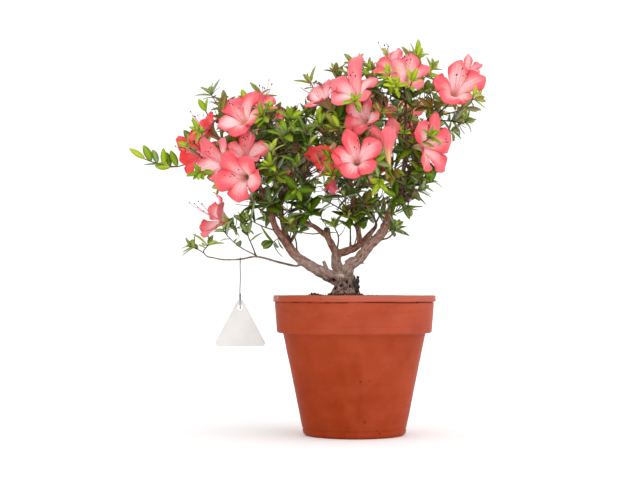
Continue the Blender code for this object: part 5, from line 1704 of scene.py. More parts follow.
@dataclass
class Leaves:
    """All leaves: blades folded on their rib, in whorls at each spray and in steps below it."""

    crown: Crown
    rows: tuple = (0.0, 0.1, 0.28, 0.5, 0.72, 0.9, 1.0)
    thickness: float = 0.014
    golden: float = 2.39996
    blades: tuple = ((0.26, 0.1, 0.176), (0.16, 0.26, 0.188), (0.42, 0.02, 0.16))
    seed: int = 11
    bold: bool = False
    dealt: dict[Tint, list[np.ndarray]] = field(default_factory=lambda: {tint: [] for tint in Tint})

    def __post_init__(self) -> None:
        """Deal the leaves out to the crown's sprays."""
        self.rng = np.random.default_rng(self.seed)
        for spray in self.crown.sprays:
            self.bold = spray.kind is Kind.FRONT
            self.dress(spray)

    def blade(self, fold: float, droop: float, slim: float) -> Surface:
        """Return a leaf of length one: across, along and above are its axes.

        Its half-width is slim * sin(pi * s^0.92)^0.75, its edges rise by fold times the
        half-width, and it droops by droop * s^2.

        Args:
            fold: how steeply its two halves rise from the rib.
            droop: how far its tip hangs.
            slim: its half-width.
        Returns:
            the leaf, with its places on the map.
        """
        s = np.array(self.rows)[:, None]
        t = np.array((-1.0, 0.0, 1.0))[None, :]
        half = slim * np.maximum(np.sin(math.pi * s ** 0.92), 0.0) ** 0.75 + 0.02 * (1.0 - s) + 0.004
        rise = fold * np.abs(t) * half - droop * s ** 2
        top = np.stack(np.broadcast_arrays(half * t, s - 0.5 * droop * s ** 3, rise), axis=-1)
        places = np.stack(np.broadcast_arrays((t + 1.0) / 4.0, s), axis=-1)
        return shells(top[None], (top - UP * self.thickness)[None], places, places + np.array((0.5, 0.0)))

    def tint_for(self, light: float, inner: bool = False) -> Tint:
        """Draw a tint: inner whorls and well-lit sprays are limier, and sprays with less light darker, partly
        by the leaves' age and partly as painted shade.

        Args:
            light: the spray's light.
            inner: whether the leaf is in an inner whorl.
        Returns:
            the tint.
        """
        level = light + (0.3 if inner else 0.0) + self.rng.normal() * 0.16
        rare = self.rng.random()
        if rare < 0.14:
            return Tint.BRONZE if rare < 0.02 and light < 0.7 else Tint.OLIVE
        if level > 1.12:
            return Tint.LIME
        if level > 0.84:
            return Tint.FRESH
        common = Tint.MID if level > 0.52 else Tint.DARK
        # A quarter of the mid and dark sprays take the grey-green of painted sheen.
        return common if self.rng.random() < 0.75 else Tint.GREY

    def place(self, tint: Tint, foot: np.ndarray, ahead: np.ndarray, above: np.ndarray,
              length: float) -> None:
        """Place a leaf that points ahead, with its upper side as near to a way as it can be.

        Args:
            tint: its shade.
            foot: where it starts.
            ahead: where it points.
            above: where its upper side turns.
            length: its length.
        """
        above = square_to(ahead, above)
        wide = length * self.rng.uniform(0.88, 1.15)
        self.dealt[tint].append(np.array((foot, np.cross(ahead, above) * wide, ahead * length, above * length,
                                          ALONG_X * self.bold)))

    def add(self, tint: Tint, foot: np.ndarray, way: np.ndarray, turn: float, tilt: float,
            length: float) -> None:
        """Add a leaf that leaves a twig at a turn and a tilt, a little turned to the light.

        Args:
            tint: its shade.
            foot: where it starts.
            way: the twig's way.
            turn: its turn about the twig.
            tilt: how far it leans from the twig's way, in degrees.
            length: its length.
        """
        tilt = math.radians(tilt)
        side = beside(way)
        outward = side * math.cos(turn) + np.cross(side, way) * math.sin(turn)
        ahead = unit(way * math.cos(tilt) + outward * math.sin(tilt) + UP * 0.12)
        self.place(tint, foot, ahead, way * math.sin(tilt) - outward * math.cos(tilt) + UP * 0.45, length)

    def comb(self, spray: Spray) -> None:
        """Stand leaves in a row on the upper side of a level shoot, with one below it.

        Args:
            spray: the shoot's spray.
        """
        length = along(spray.twig)[-1]
        way = unit(spray.twig[-1] - spray.twig[-3])
        for k in range(spray.kind.value[4]):
            foot = point_along(spray.twig, max(length - k * 7.5, 2.0))
            draw = self.rng.normal(size=3) * 0.22
            ahead = unit(UP * 1.1 + way * (0.7 - 0.16 * k) + draw) if k else unit(way + UP * 0.3)
            self.place(self.tint_for(max(spray.light - 0.08 * k, 0.7), k == 0), foot, ahead,
                       np.array((0.2, -1.0, 0.1)), LEAF_LENGTH * self.rng.uniform(0.85, 1.2))
        below = unit(way * 0.9 - UP * 0.35 + np.array((0.0, -0.3, 0.0)))
        # The leaf under the shoot takes the dark tint: partly an older leaf, partly painted shade.
        self.place(Tint.DARK, point_along(spray.twig, length * 0.5), below, UP, LEAF_LENGTH)

    def dress(self, spray: Spray) -> None:
        """Set one spray: an outer whorl, an inner whorl of young leaves, and leaves in steps below.

        Where there is light, whorls stand up in tufts of smaller leaves; in the shade
        they lie flatter and their leaves are larger.

        Args:
            spray: the spray.
        """
        if spray.kind is Kind.COMB:
            self.comb(spray)
            return
        rng = self.rng
        fewest, most, inner_fewest, inner_most, lower = spray.kind.value
        place = spray.twig[-1]
        way = unit(spray.twig[-1] - spray.twig[-3])
        lit = float(ease(0.3, 1.1, spray.light))
        size = LEAF_LENGTH * (1.24 - 0.27 * lit)
        flat = {Kind.BLOOM: 92.0, Kind.FRONT: 48.0}.get(spray.kind, 74.0 - 18.0 * lit)
        if spray.kind is Kind.FRONT:
            size *= 0.85
        first_turn = rng.uniform(0.0, TURN)
        tint = self.tint_for(spray.light)
        count = int(rng.integers(fewest, most + 1))
        if spray.kind is Kind.GROWN and spray.light < 0.5:
            count, lower = count - 1, 1
        for k in range(count):
            foot = place - way * rng.uniform(0.0, 6.5 if spray.kind is Kind.BLOOM else 2.5)
            turn = first_turn + TURN * k / count + rng.normal() * 0.25
            self.add(tint, foot, way, turn, flat + rng.uniform(-16.0, 14.0), size * rng.uniform(0.7, 1.12))
        tint = self.tint_for(spray.light, True)
        for k in range(int(rng.integers(inner_fewest, inner_most + 1))):
            self.add(tint, place, way, first_turn + 1.1 + k * self.golden, rng.uniform(14.0, 40.0),
                     size * rng.uniform(0.42, 0.75))
        length = along(spray.twig)[-1]
        for k in range(1, 1 + min(lower, int(length / 8.0))):
            foot = point_along(spray.twig, length - k * 6.5 + rng.uniform(-1.5, 1.5))
            # Leaves lower on the twig take a darker tint: partly older leaves, partly painted shade.
            self.add(self.tint_for(spray.light - 0.2), foot, way, first_turn + k * self.golden,
                     rng.uniform(50.0, 78.0), size * rng.uniform(0.6, 1.0))

    def build(self) -> None:
        """Make one piece of each tint, from blades dealt in turn.

        A leaf that would enter or hide a bloom is left out, unless its spray stands in front.
        """
        blades = [self.blade(*sizes) for sizes in self.blades]
        total = 0
        for tint, dealt in self.dealt.items():
            leaves = np.array(dealt)
            points = leaves[:, 0, None] + leaves[:, 2, None] * np.array((0.3, 0.65, 1.0))[:, None]
            clear = clear_of_blooms(points, 1.0, 0.72).all(axis=1)
            leaves = leaves[clear | (leaves[:, 4, 0] > 0.0)]
            total += len(leaves)
            parts = []
            for number, blade in enumerate(blades):
                own = leaves[number::len(blades)]
                parts.append(copies(blade, own[:, 1:4].transpose(0, 2, 1), own[:, 0]))
            name = tint.value[0]
            skin = LeafSkin("leaf_" + name, 0.42, 0.13, tint)
            make_piece("leaves_" + name, joined(parts), skin.make(), FOLIAGE)
        LOG.info("leaves: %d", total)


@dataclass
class Blossom:
    """All blooms: funnels of five lobes, with stamens, a pistil and a calyx."""

    rows: int = 20
    columns: int = 13
    lobes: int = 5
    thickness: float = 0.3
    stamens: int = 5
    map_side: int = 4
    thread_rows: int = 9
    thread_radius: float = 0.3
    crumple: float = 1.55
    faded_crumple: float = 3.2
    seed: int = 23

    def __post_init__(self) -> None:
        """Seed the draws."""
        self.rng = np.random.default_rng(self.seed)

    def corolla(self, bloom: Bloom, tile: int) -> Surface:
        """Return a bloom's five lobes.

        A lobe is a grid of s from foot to tip and t across.  Its middle line follows
        the form's profile.  Its half-width is the tube's fifth, until that is wider
        than the lobe, which swells to its full width.  Across, it is an arc that
        flattens and bends back.  The rim ripples by sines of s that grow with |t|^1.6,
        and the tip is rounded by pulling s back by |t|^2.2.

        Args:
            bloom: the bloom.
            tile: which of the map's sixteen squares is the bloom's.
        Returns:
            the lobes, with their places on the map.
        """
        axis, side, rise = bloom.axes()
        wide, depth = bloom.wide, bloom.deep
        line = smooth_path(np.array(bloom.form.value) * np.array((wide, depth)) - np.array((0.0, depth)), 0.8)
        way = along(line) / along(line)[-1]
        slope = unit(np.gradient(line, axis=0))
        s = np.linspace(0.0, 1.0, self.rows)[None, :, None]
        t = np.linspace(-1.0, 1.0, self.columns)[None, None, :]
        lobe = np.arange(self.lobes)
        draw = np.clip(self.rng.normal(size=(9, self.lobes)), -1.8, 1.8)[:, :, None, None]
        stretch = 1.0 + 0.08 * draw[0]
        narrow = np.clip(0.12 + 0.1 * draw[6], 0.0, 0.35)
        if bloom.first_lobe > 1.0:
            stretch[0] *= bloom.first_lobe
            narrow[0] = min(0.85, 1.6 * (bloom.first_lobe - 1.0) + 0.2)
        bent = s - (0.19 + 0.02 * draw[8]) * ease(0.55, 1.0, s) * np.abs(t) ** 2.2
        radius, height = (np.interp(bent, way, part) for part in line.T)
        out, ahead = (np.interp(bent, way, part) for part in slope.T)
        grown = ease(0.45, 1.0, bent) * (stretch - 1.0)
        radius = radius + grown * out * depth * 1.3
        height = height + grown * ahead * depth * 1.3
        joined_half = radius * math.tan(math.pi / self.lobes) * 1.05
        full = wide * {Form.TRUMPET: 0.52, Form.CUP: 0.62}.get(bloom.form, 0.41) * (1.0 + 0.1 * draw[1])
        swell = 0.74 + 0.26 * ease(0.48, 0.78, bent)
        lobe_half = full * swell * (1.0 - narrow * ease(0.76, 1.0, bent) ** 1.4)
        half = np.minimum(joined_half, lobe_half) if bloom.form is not Form.BUD else joined_half * 1.2
        bend_back = 0.2 + 0.16 * draw[2]
        curl = math.pi / self.lobes * (1.0 - ease(0.25, 0.7, bent)) + 0.3 * ease(0.3, 0.5, bent)
        curl = curl - (0.3 + bend_back) * ease(0.6, 1.0, bent)
        curl = np.where(np.abs(curl) < 0.02, 0.02, curl) + 0.0 * t
        lateral = half * np.sin(curl * t) / curl
        inward = half * (1.0 - np.cos(curl * t)) / curl
        ripple = np.sin(10.5 * s + 2.0 * draw[3] + 1.7 * np.sign(t)) * np.abs(t) ** 1.6
        ripple = ripple + 0.45 * ease(0.75, 1.0, s) * np.sin(6.5 * t + 3.0 * draw[1])
        crumple = self.faded_crumple if bloom.flush is Flush.FADED else self.crumple
        inward = inward + crumple * ease(0.45, 0.95, s) * ripple * min(1.0, wide / BLOOM_RADIUS)
        inward = inward - 0.45 * np.exp(-(t / 0.13) ** 2) * ease(0.3, 0.6, s) * ease(1.0, 0.8, s)
        bow = (0.7 + 0.8 * draw[7]) * t + 1.8 * draw[4] + 1.8 * draw[7] * ease(0.7, 1.0, s)
        inward = inward + 0.25 * t + bow * ease(0.42, 0.9, s)
        turn = (bloom.roll + TURN * lobe / self.lobes) + 0.1 * draw[5, :, 0, 0]
        radial = rise * np.cos(turn)[:, None] - side * np.sin(turn)[:, None]
        tangent = -(rise * np.sin(turn)[:, None] + side * np.cos(turn)[:, None])

        def laid(lift: float) -> np.ndarray:
            """Return one sheet of the lobes.

            Args:
                lift: how far it lies towards the bloom's inside.
            Returns:
                lobes by rows by columns by 3.
            """
            r = radius - ahead * (inward + lift)
            h = height + out * (inward + lift)
            return (np.array(bloom.place) + radial[:, None, None] * r[..., None]
                    + tangent[:, None, None] * lateral[..., None] + axis * h[..., None])

        u = 0.1 * lobe[:, None, None] + ((t + 1.0) / 2.0 * 0.9 + 0.05) * 0.1 + 0.0 * s
        outside = np.stack([u, 0.02 + 0.96 * s + 0.0 * u], axis=-1)
        corner = np.array((tile % self.map_side, tile // self.map_side))
        return shells(laid(0.0), laid(self.thickness), (corner + outside) / self.map_side,
                      (corner + outside + np.array((0.5, 0.0))) / self.map_side)

    def threads(self, bloom: Bloom) -> tuple[Surface, Surface]:
        """Return a bloom's stamens and pistil, and their dark anthers.

        A thread's path leaves the tube's foot along the axis, sags to the lower side
        and bows up again: axis * L * s - rise * 0.8 (9 s - 15 s^2), with a spread by
        draws that grows as s^1.3.

        Args:
            bloom: the bloom.
        Returns:
            the threads and the anthers.
        """
        rng = self.rng
        axis, side, rise = bloom.axes()
        count, rows = self.stamens + 1, self.thread_rows
        s = np.linspace(0.0, 1.0, rows)[None, :, None]
        reach = bloom.deep * (1.25 + 0.12 * rng.normal(size=(count, 1, 1)))
        reach[-1] = bloom.deep * 1.62
        spread = rng.normal(size=(count, 1, 2)) * np.array((3.4, 2.6))
        spread[-1] *= 0.4
        down = (9.0 * s - 15.0 * s ** 2) * 0.8
        base = np.array(bloom.place) - axis * bloom.deep * 0.8
        paths = (base + axis * reach * s - rise * down + side * spread[..., :1] * s ** 1.3 * 1.4
                 + rise * spread[..., 1:] * s ** 1.3)
        radii = np.full((count, rows), self.thread_radius) * np.linspace(1.1, 0.8, rows)
        radii[-1] *= 1.25
        ways = unit(paths[:, -1] - paths[:, -2])
        anther = tubes(UP * np.array((-1.0, -0.5, 0.4, 1.0))[None, :, None],
                       np.array([[0.2, 0.62, 0.62, 0.2]]), 5)
        across = unit(np.cross(ways, side + 0.31 * rise))
        frames = np.stack([across, np.cross(ways, across), ways], axis=-1)
        frames = frames * rng.uniform(0.85, 1.25, (count, 1, 1))
        return tubes(paths, radii, 5), copies(anther, frames, paths[:, -1])

    @staticmethod
    def calyx(bloom: Bloom) -> Surface:
        """Return the small green cup at a bloom's foot: five points on a short bell.

        Args:
            bloom: the bloom.
        Returns:
            the cup.
        """
        rows = np.array((-2.2, -1.0, 0.6, 2.6, 4.2))[:, None]
        points = 1.0 - 0.3 * (np.arange(10) % 2)
        radii = np.array((0.8, 1.7, 2.2, 2.5, 2.3))[:, None] * np.where(rows > 2.0, points, 1.0)
        return tubes((bloom.foot + bloom.axis * rows)[None], radii[None], 10)

    def build(self) -> None:
        """Make the lobes in one piece of each shade, then threads, anthers and cups."""
        nodes = tuple("foliage_" + name for name in BLOOMS)
        corollas: dict[Flush, list[Surface]] = {flush: [] for flush in Flush}
        threads = []
        for bloom in ALL_BLOOMS:
            corollas[bloom.flush].append(self.corolla(bloom, len(corollas[bloom.flush])))
            if bloom.stamens and bloom.form is not Form.BUD and bloom.flush is not Flush.FADED:
                threads.append(self.threads(bloom))
        for flush, shapes in corollas.items():
            name = flush.value[0]
            skin = PetalSkin("petal_" + name, 0.5, 0.3, flush)
            make_piece("petals_" + name, joined(shapes), skin.make(), nodes)
        stamens, anthers = (joined(shapes) for shapes in zip(*threads))
        for name, surface, finish, slot in (
                ("stamens", stamens, Clouded("stamen", 0.5, 0.5, "#F6B4B8", "#EE8F98", 200.0), "petal"),
                ("anthers", anthers, Clouded("anther", 0.7, 0.5, "#3A1F2A", "#5C3040", 300.0), "petal"),
                ("calyces", joined(self.calyx(bloom) for bloom in ALL_BLOOMS),
                 Clouded("calyx", 0.6, 0.5, "#7E9A34", "#A9A84A", 300.0), "leaf")):
            make_piece(name, surface, finish.make(), nodes)


@dataclass(frozen=True)
class Pot:
    """The clay pot: a turned wall with a collar, a raised lip and an uneven crack under it."""

    height: float = 156.0
    base: float = 57.3
    foot_line: float = 7.6
    body: float = 79.4
    collar_foot: float = 113.6
    collar_low: float = 86.6
    collar_high: float = 89.2
    lip_foot: float = 148.2
    lip: float = 91.0
    thickness: float = 7.0
    floor: float = 9.0
    holes: int = 3
    hole_radius: float = 5.0
    hole_ring: float = 28.0
    around: int = 256
    close_step: float = 0.45
    outer_step: float = 1.8
    inner_step: float = 6.0
    knot_turn: float = 5.55
    sharp_angle: float = 50.0

    def profile(self) -> np.ndarray:
        """Return the wall's outline, from the foot's middle up, over the lip and down inside.

        Returns:
            (radius, height) of each point, close together at the lip and the foot.
        """
        base, foot, body, collar = self.base, self.foot_line, self.body, self.collar_foot
        low, high, neck, lip = self.collar_low, self.collar_high, self.lip_foot, self.lip
        top, wall, inner = self.height, self.thickness, self.collar_high - self.thickness
        points = (
            (0.0, 0.0), (base - 2.0, 0.0), (base, 2.4), (base + 0.7, foot - 2.2), (base + 0.1, foot - 1.5),
            (base + 0.6, foot - 0.7), (base + 0.1, foot + 0.1), (base + 0.9, foot + 1.0),
            (body, collar - 1.0), (body + 1.2, collar + 0.4), (low - 1.4, collar), (low, collar + 1.6),
            (high, neck - 0.6), (high - 0.3, neck + 0.1), (lip - 0.3, neck + 0.4), (lip, neck + 1.0),
            (lip, top - 0.8), (lip - 0.8, top), (inner + 1.5, top), (inner, top - 1.8),
            (low - wall, collar + 4.0), (body - wall, collar - 6.0), (base - wall + 1.5, self.floor),
            (0.0, self.floor))
        rows = [points[:1]]
        for start, end in zip(points, points[1:]):
            outside = max(start[0], end[0]) > 10.0 and end[1] != self.floor
            near_lip = low <= end[0] and start[1] > collar + 1.0
            near_foot = start[1] < foot + 1.0 and start[0] > 20.0
            step = self.inner_step
            if outside:
                step = self.close_step if near_lip or near_foot else self.outer_step
            pieces = max(1, math.ceil(math.dist(start, end) / step))
            share = np.arange(1, pieces + 1)[:, None] / pieces
            rows.append(np.array(start) + (np.array(end) - np.array(start)) * share)
        outline = np.vstack(rows)
        softened = outline.copy()
        softened[1:-1] = outline[1:-1] * 0.5 + (outline[:-2] + outline[2:]) * 0.25
        softened[:, 1] = np.clip(softened[:, 1], 0.0, top)
        softened[outline[:, 1] == 0.0, 1] = 0.0
        return softened

    def wall(self) -> tuple[Surface, np.ndarray]:
        """Return the outline turned about the axis, with throwing marks and a worn, chipped lip.

        The radius gains slow sines of the turn, fine rings that wander with it, and
        noise; under the lip a groove wanders up and down and varies in depth.

        Returns:
            the wall, and how deep in the groove each corner is.
        """
        outline = self.profile()[1:-1]
        turn = round_turns(self.around)
        radius, height = np.broadcast_arrays(outline[:, :1] + 0.0 * turn, outline[:, 1:])
        level = np.stack([np.cos(turn) + 0.0 * radius, np.sin(turn) + 0.0 * radius, 0.0 * radius], axis=-1)
        place = level + UP * height[..., None] / 40.0
        outer_side = np.arange(len(outline)) <= outline[:, 0].argmax() + 4
        mask = (outer_side[:, None] & (height > 2.0)).astype(float)
        slow = 0.3 * np.sin(2.0 * turn + 0.8) + 0.18 * np.sin(3.0 * turn - 1.1)
        wander = noise(31, place * 1.5 + 20.0)
        rings = 0.05 * np.sin(height * 2.1 + 5.0 * wander) + 0.5 * (noise(32, place * 3.0 + 20.0, 3) - 0.5)
        crack_height = self.lip_foot - 0.1 + 0.9 * (noise(33, level * 5.0 + 20.0) - 0.5)
        ragged = noise(34, level * 14.0 + 20.0, 3)
        open_share = ease(-0.05, 0.16, np.cos(turn)) * ease(0.2, -0.1, np.sin(turn))
        depth = 0.16 + 1.0 * ease(0.44, 0.7, ragged) * (1.0 - open_share) + (0.75 + 0.3 * ragged) * open_share
        knot = 1.3 * np.exp(-((turn - self.knot_turn) / 0.018) ** 2 - ((height - crack_height) / 1.0) ** 2)
        crack = depth * np.exp(-((height - crack_height) / 0.5) ** 2) + knot
        chips = noise(35, place * np.array((12.0, 12.0, 6.0)) + 20.0, 3)
        lip = np.clip((height - self.lip_foot) / 3.0, 0.0, 1.0)
        radius = radius + mask * (slow + rings - crack - 1.6 * lip * np.clip(chips - 0.58, 0.0, 1.0))
        radius = radius + mask * 0.35 * lip * np.sin(5.0 * turn + 1.0)
        rim = np.clip((height - 152.0) / 4.0, 0.0, 1.0)
        height = height - 0.8 * rim * noise(36, level * 4.0 + 20.0, 3)
        rings = np.stack([radius * np.cos(turn), radius * np.sin(turn), height], axis=-1)
        ends = np.array([[(0.0, 0.0, 0.0), (0.0, 0.0, self.floor)]])
        return closed_rings(rings[None], ends), np.append(np.clip(crack * mask / 1.2, 0.0, 1.0), (0.0, 0.0))

    def build(self) -> None:
        """Make the pot and cut its drain holes."""
        surface, crack = self.wall()
        pot = make_piece("clay_pot", surface, Clay("fired_clay", 0.6, 0.06).make(), ("pot",))
        set_values(pot.data, "crack", "FLOAT", crack)
        turn = TURN * (np.arange(self.holes) + 0.25) / self.holes
        across = self.hole_ring * np.stack([np.cos(turn), np.sin(turn), 0.0 * turn], axis=-1)
        rods = across[:, None] + UP * np.array((-5.0, self.floor + 5.0))[:, None]
        cutter = make_piece("drain_cutter", tubes(rods, np.full((self.holes, 2), self.hole_radius), 28),
                            pot.data.materials[0])
        cut = pot.modifiers.new("Drain", "BOOLEAN")
        cut.object = cutter
        cut.operation = "DIFFERENCE"
        apply_modifiers(pot)
        bpy.data.objects.remove(cutter, do_unlink=True)
        pot.data.shade_smooth()
        pot.data.set_sharp_from_angle(angle=math.radians(self.sharp_angle))


@dataclass(frozen=True)
class Soil:
    """The soil: a crumbly mound that fills the pot, with grains strewn over it."""

    pot: Pot
    edge: float = 150.0
    radius: float = 81.6
    around: int = 120
    rings: int = 56
    clod_height: float = 2.6
    clear_of_trunk: float = 12.5
    grain_sharp_angle: float = 28.0
    grain_kinds: tuple = (("grains_dark", 51, 760, 1.2, "#33251C", "#5A4636"),
                          ("grains_tan", 52, 420, 1.3, "#7A5E42", "#A08060"),
                          ("grains_red", 53, 260, 1.2, "#6E4028", "#8C5A3A"))

    def height(self, x: np.ndarray, y: np.ndarray) -> np.ndarray:
        """Return the mound's height: it rises from the edge to the trunk's seat, with clods.

        Args:
            x: places to the right.
            y: places to the back.
        Returns:
            the height of each place.
        """
        share = 1.0 - np.hypot(x, y) / self.radius
        near = np.hypot(x - TRUNK_FOOT[0], y - TRUNK_FOOT[1])
        mound = self.edge + 4.0 * ease(0.0, 0.4, share) + 3.9 * ease(25.0, 14.0, near)
        place = np.stack([x, y, np.zeros_like(x)], axis=-1) / 9.0 + 40.0
        clods = self.clod_height * (noise(41, place, 4) - 0.5)
        humps = (3.2 * np.exp(-((x + 47.0) ** 2 + (y + 6.0) ** 2) / 45.0)
                 + 2.2 * np.exp(-((x + 37.0) ** 2 + (y + 8.0) ** 2) / 40.0))
        return mound + clods * ease(12.0, 26.0, near) * ease(0.0, 0.06, share) + humps

    def mound(self) -> Surface:
        """Return the mound's skin, its sides down the pot's wall, and its flat underside.

        Returns:
            the mound.
        """
        pot, low = self.pot, self.pot.floor + 0.3
        turn = round_turns(self.around)
        sides = ((pot.base - pot.thickness + 1.0, low), (pot.body - pot.thickness - 0.6, 109.6),
                 (pot.collar_low - pot.thickness - 0.6, 119.6))
        out = np.linspace(1.0, 0.012, self.rings) ** 0.9 * self.radius
        out = np.append([radius for radius, _ in sides], out)
        x, y = out[:, None] * np.cos(turn), out[:, None] * np.sin(turn)
        z = self.height(x, y)
        z[:len(sides)] = [[height] for _, height in sides]
        middle = self.height(np.zeros(1), np.zeros(1))[0]
        return closed_rings(np.stack([x, y, z], axis=-1)[None], UP * np.array([[[low], [middle]]]))

    def grains(self, seed: int, count: int, size: float) -> Surface:
        """Return strewn grains: rounded lumps of four rings, turned and flattened at random.

        Args:
            seed: what the draws start from.
            count: how many are thrown; those at the trunk are left out.
            size: about how large they are.
        Returns:
            the grains.
        """
        rng = np.random.default_rng(seed)
        turn = rng.uniform(0.0, TURN, count)
        out = np.sqrt(rng.uniform(0.0, 1.0, count)) * (self.radius - 2.5)
        x, y = out * np.cos(turn), out * np.sin(turn)
        keep = np.hypot(x - TRUNK_FOOT[0], y - TRUNK_FOOT[1]) > self.clear_of_trunk
        x, y = x[keep], y[keep]
        lump = tubes(np.array([[(0.0, 0.0, -0.8), (0.0, 0.0, -0.35), (0.05, 0.0, 0.3), (0.0, 0.05, 0.75)]]),
                     np.array([[0.45, 0.95, 1.0, 0.4]]), 6)
        frames = np.linalg.qr(rng.normal(size=(len(x), 3, 3)))[0]
        frames *= np.linalg.det(frames)[:, None, None]
        frames = frames * (size * rng.uniform(0.5, 1.25, (len(x), 1, 1)))
        frames = frames * rng.uniform(0.65, 1.2, (len(x), 1, 3))
        return copies(lump, frames, np.stack([x, y, self.height(x, y) + 0.1], axis=1))

    @staticmethod
    def earth(name: str, first: str, second: str, scale: float) -> bpy.types.Material:
        """Return a gritty finish of two browns in clouds."""
        return Clouded(name, 0.92, 0.2, first, second, scale, 0.12, 0.7).make()

    def build(self) -> None:
        """Make the mound and three kinds of grain."""
        earth = self.earth("soil", "#2E211A", "#5A4332", 420.0)
        make_piece("soil_mound", self.mound(), earth, ("soil",))
        for name, seed, count, size, first, second in self.grain_kinds:
            earth = self.earth(name, first, second, 260.0)
            grain = make_piece(name, self.grains(seed, count, size), earth)
            grain.data.set_sharp_from_angle(angle=math.radians(self.grain_sharp_angle))


@dataclass(frozen=True)
class Tag:
    """The bare plastic tag and the wire that holds it."""

    wood: Wood
    side: float = 61.0
    tall: float = 57.0
    thickness: float = 1.2
    corner: float = 4.0
    top: float = 151.0
    x: float = -128.0
    y: float = -6.0
    hole_radius: float = 3.2
    hole_below_top: float = 9.0
    wire: float = 0.45
    play_at_twig: float = 0.4
    play_at_hole: float = 0.9
    twist_radius: float = 0.75
    twist_turns: int = 5
    twist_rows: int = 70
    sharp_angle: float = 40.0

    def outline(self, steps: int = 14, straight: int = 22) -> np.ndarray:
        """Return the rounded triangle's outline: three arcs joined by straight runs.

        Args:
            steps: points in an arc.
            straight: points in a straight run, with its ends.
        Returns:
            the outline's points, seen from the front.
        """
        half = self.side / 2.0
        flank = math.atan2(self.tall, half)
        apex = math.pi / 2.0 - flank
        low = half - self.corner / math.tan(flank / 2.0)
        arcs = []
        for x, z, first, last in (
                (low, self.corner, -math.pi / 2.0, apex),
                (0.0, self.tall - self.corner / math.sin(apex), apex, math.pi - apex),
                (-low, self.corner, math.pi - apex, 1.5 * math.pi)):
            turn = np.linspace(first, last, steps)
            arcs.append(np.stack([x + self.corner * np.cos(turn), z + self.corner * np.sin(turn)], axis=1))
        points = []
        for arc, following in zip(arcs, arcs[1:] + arcs[:1]):
            run = arc[-1] + (following[0] - arc[-1]) * np.linspace(0.0, 1.0, straight)[1:-1, None]
            points += [arc, run]
        return np.vstack(points)

    def plate(self) -> Surface:
        """Return the tag: rows run from the hole out over the front, round the edge and back behind.

        Returns:
            the plate, a little bowed.
        """
        outline = self.outline()
        top = outline[:, 1].max()
        middle = np.array((0.0, top - self.hole_below_top))
        spokes = unit(outline - middle)
        hole = middle + spokes * self.hole_radius
        rows = ((0.0, 0.35, -1.0), (0.35, 0.0, -1.0), (0.7, 0.0, -1.0), (1.0, -1.6, -1.0), (1.0, -1.3, -0.8),
                (1.0, -0.35, -0.8), (1.0, 0.0, -0.4), (1.0, 0.0, 0.4), (1.0, -0.35, 0.9), (0.7, 0.0, 0.9),
                (0.35, 0.0, 0.9), (0.0, 0.35, 0.9), (0.0, 0.0, 0.5), (0.0, 0.0, -0.6))
        share, push, depth = np.array(rows).T[:, :, None]
        points = hole + (outline - hole) * share[..., None] + spokes * push[..., None]
        x, z = points[..., 0], points[..., 1]
        grid = np.stack([self.x + x, self.y + depth * (self.thickness / 2.0) + 0.5 * (x / 26.0) ** 2,
                         self.top - top + z], axis=-1)
        quads = grid_quads(len(rows), len(outline), rows_closed=True, columns_closed=True)
        return Surface(grid.reshape(-1, 3), quads[:, ::-1])

    def arc(self, y: float, z: float, radius: float, turns: tuple[float, float], steps: int) -> np.ndarray:
        """Return points of an arc in the plane across X; a turn of 0 points to -Y and a quarter turn up.

        Args:
            y: its middle.
            z: its middle's height.
            radius: its radius.
            turns: its first and last turn, in degrees.
            steps: its points.
        Returns:
            the points.
        """
        turn = np.radians(np.linspace(*turns, steps))
        return np.stack([self.x + 0.0 * turn, y - radius * np.cos(turn), z + radius * np.sin(turn)], axis=1)

    def hook_wire(self) -> Surface:
        """Return the wire: a hook over the twig, a drop with a small twist, and a hook in the tag's hole.

        Returns:
            the wire and its twist.
        """
        path, radii = self.wood.paths["tag_twig"]
        nearest = int(np.abs(path[:, 0] - self.x).argmin())
        _, twig_y, twig_z = path[nearest]
        hole = self.top - self.hole_below_top
        low_radius = self.thickness / 2.0 + self.wire + self.play_at_hole
        drop = self.y - low_radius
        upper = self.arc(twig_y, twig_z, radii[nearest] + self.wire + self.play_at_twig, (200.0, 0.0), 12)
        lower = self.arc(self.y, hole, low_radius, (0.0, -180.0), 10)
        fall = [(self.x, drop, twig_z - 8.0), (self.x + 0.3, drop, twig_z - 22.0),
                (self.x - 0.2, drop, hole + 20.0), (self.x, drop, hole + 6.0)]
        line = smooth_path(np.vstack([upper[:1] - UP * 4.0, upper, fall, lower, lower[-1:] + UP * 2.5]), 0.6)
        turn = np.linspace(0.0, self.twist_turns * TURN, self.twist_rows)
        helix = np.stack([self.x + self.twist_radius * np.cos(turn), drop + self.twist_radius * np.sin(turn),
                          hole + 9.0 + turn * 0.2], axis=1)
        return joined([tubes(line[None], np.full((1, len(line)), self.wire), 8),
                       tubes(helix[None], np.full((1, len(helix)), self.wire * 0.9), 7)])

    def build(self) -> None:
        """Make the tag and the wire."""
        plastic = Clouded("tag_plastic", 0.36, 0.5, "#E6E4E1", "#DEDDDA", 60.0)
        tag = make_piece("tag_plate", self.plate(), plastic.make(), ("tag",))
        tag.data.set_sharp_from_angle(angle=math.radians(self.sharp_angle))
        steel = Clouded("dark_wire", 0.4, 0.5, "#3A3734", "#5B5650", 400.0)
        make_piece("tag_hook_wire", self.hook_wire(), steel.make(), ("tag_wire",))


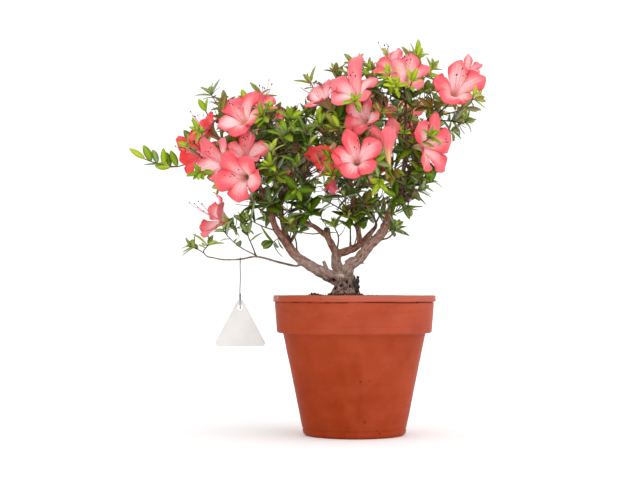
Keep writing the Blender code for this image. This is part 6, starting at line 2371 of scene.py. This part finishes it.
@dataclass(frozen=True)
class Studio:
    """A pale floor, soft light and the camera of the photo's view."""

    eye: tuple = (-0.047, -1.6, 0.159)
    pitch: float = 2.165
    focal_pixels: float = 1422.0
    image_width: float = 625.0
    floor_half: float = 60.0
    floor_height: float = -0.0002
    sky_strength: float = 1.1
    sun_place: tuple = (0.7, -0.9, 1.9)
    sun_strength: float = 0.75
    sun_softness: float = 80.0

    def build(self) -> None:
        """Set up the floor, the light and the camera."""
        scene = bpy.context.scene
        scene.view_settings.view_transform = "Standard"
        world = bpy.data.worlds.new("studio")
        world.use_nodes = True
        background = world.node_tree.nodes["Background"]
        background.inputs[0].default_value = (1.0, 1.0, 1.0, 1.0)
        background.inputs[1].default_value = self.sky_strength
        scene.world = world
        self.floor()
        self.sun()
        lens = bpy.data.cameras.new("camera")
        lens.sensor_width = 36.0
        lens.lens = self.focal_pixels / self.image_width * lens.sensor_width
        camera = bpy.data.objects.new("camera", lens)
        camera.location = self.eye
        camera.rotation_euler = (math.radians(90.0 + self.pitch), 0.0, 0.0)
        scene.collection.objects.link(camera)
        scene.camera = camera

    def floor(self) -> None:
        """Lay a wide pale floor just under the pot."""
        mesh = bpy.data.meshes.new("floor")
        wide, high = self.floor_half, self.floor_height
        corners = [(x * wide, y * wide, high) for x, y in ((-1, -1), (1, -1), (1, 1), (-1, 1))]
        mesh.from_pydata(corners, [], [(0, 1, 2, 3)])
        mesh.materials.append(Finish("pale_floor", 0.9, 0.5).make())
        floor = bpy.data.objects.new("floor", mesh)
        bpy.context.scene.collection.objects.link(floor)

    def sun(self) -> None:
        """Set a very soft sun, so that the floor is lit alike all the way out."""
        light = bpy.data.lights.new("key", "SUN")
        light.energy = self.sun_strength
        light.angle = math.radians(self.sun_softness)
        lamp = bpy.data.objects.new("key", light)
        lamp.location = self.sun_place
        x, y, z = self.sun_place
        lamp.rotation_euler = (math.atan2(math.hypot(x, y), z), 0.0, math.atan2(-y, -x) - math.pi / 2.0)
        bpy.context.scene.collection.objects.link(lamp)


def main() -> None:
    """Build the studio and every sub-assembly in order."""
    logging.basicConfig(level=logging.INFO, format="%(name)s: %(message)s")
    pot = Pot()
    wood = Wood()
    Studio().build()
    pot.build()
    Soil(pot).build()
    wood.build()
    crown = Crown(wood)
    crown.build()
    Leaves(crown).build()
    Blossom().build()
    Tag(wood).build()


if __name__ == "__main__":
    main()
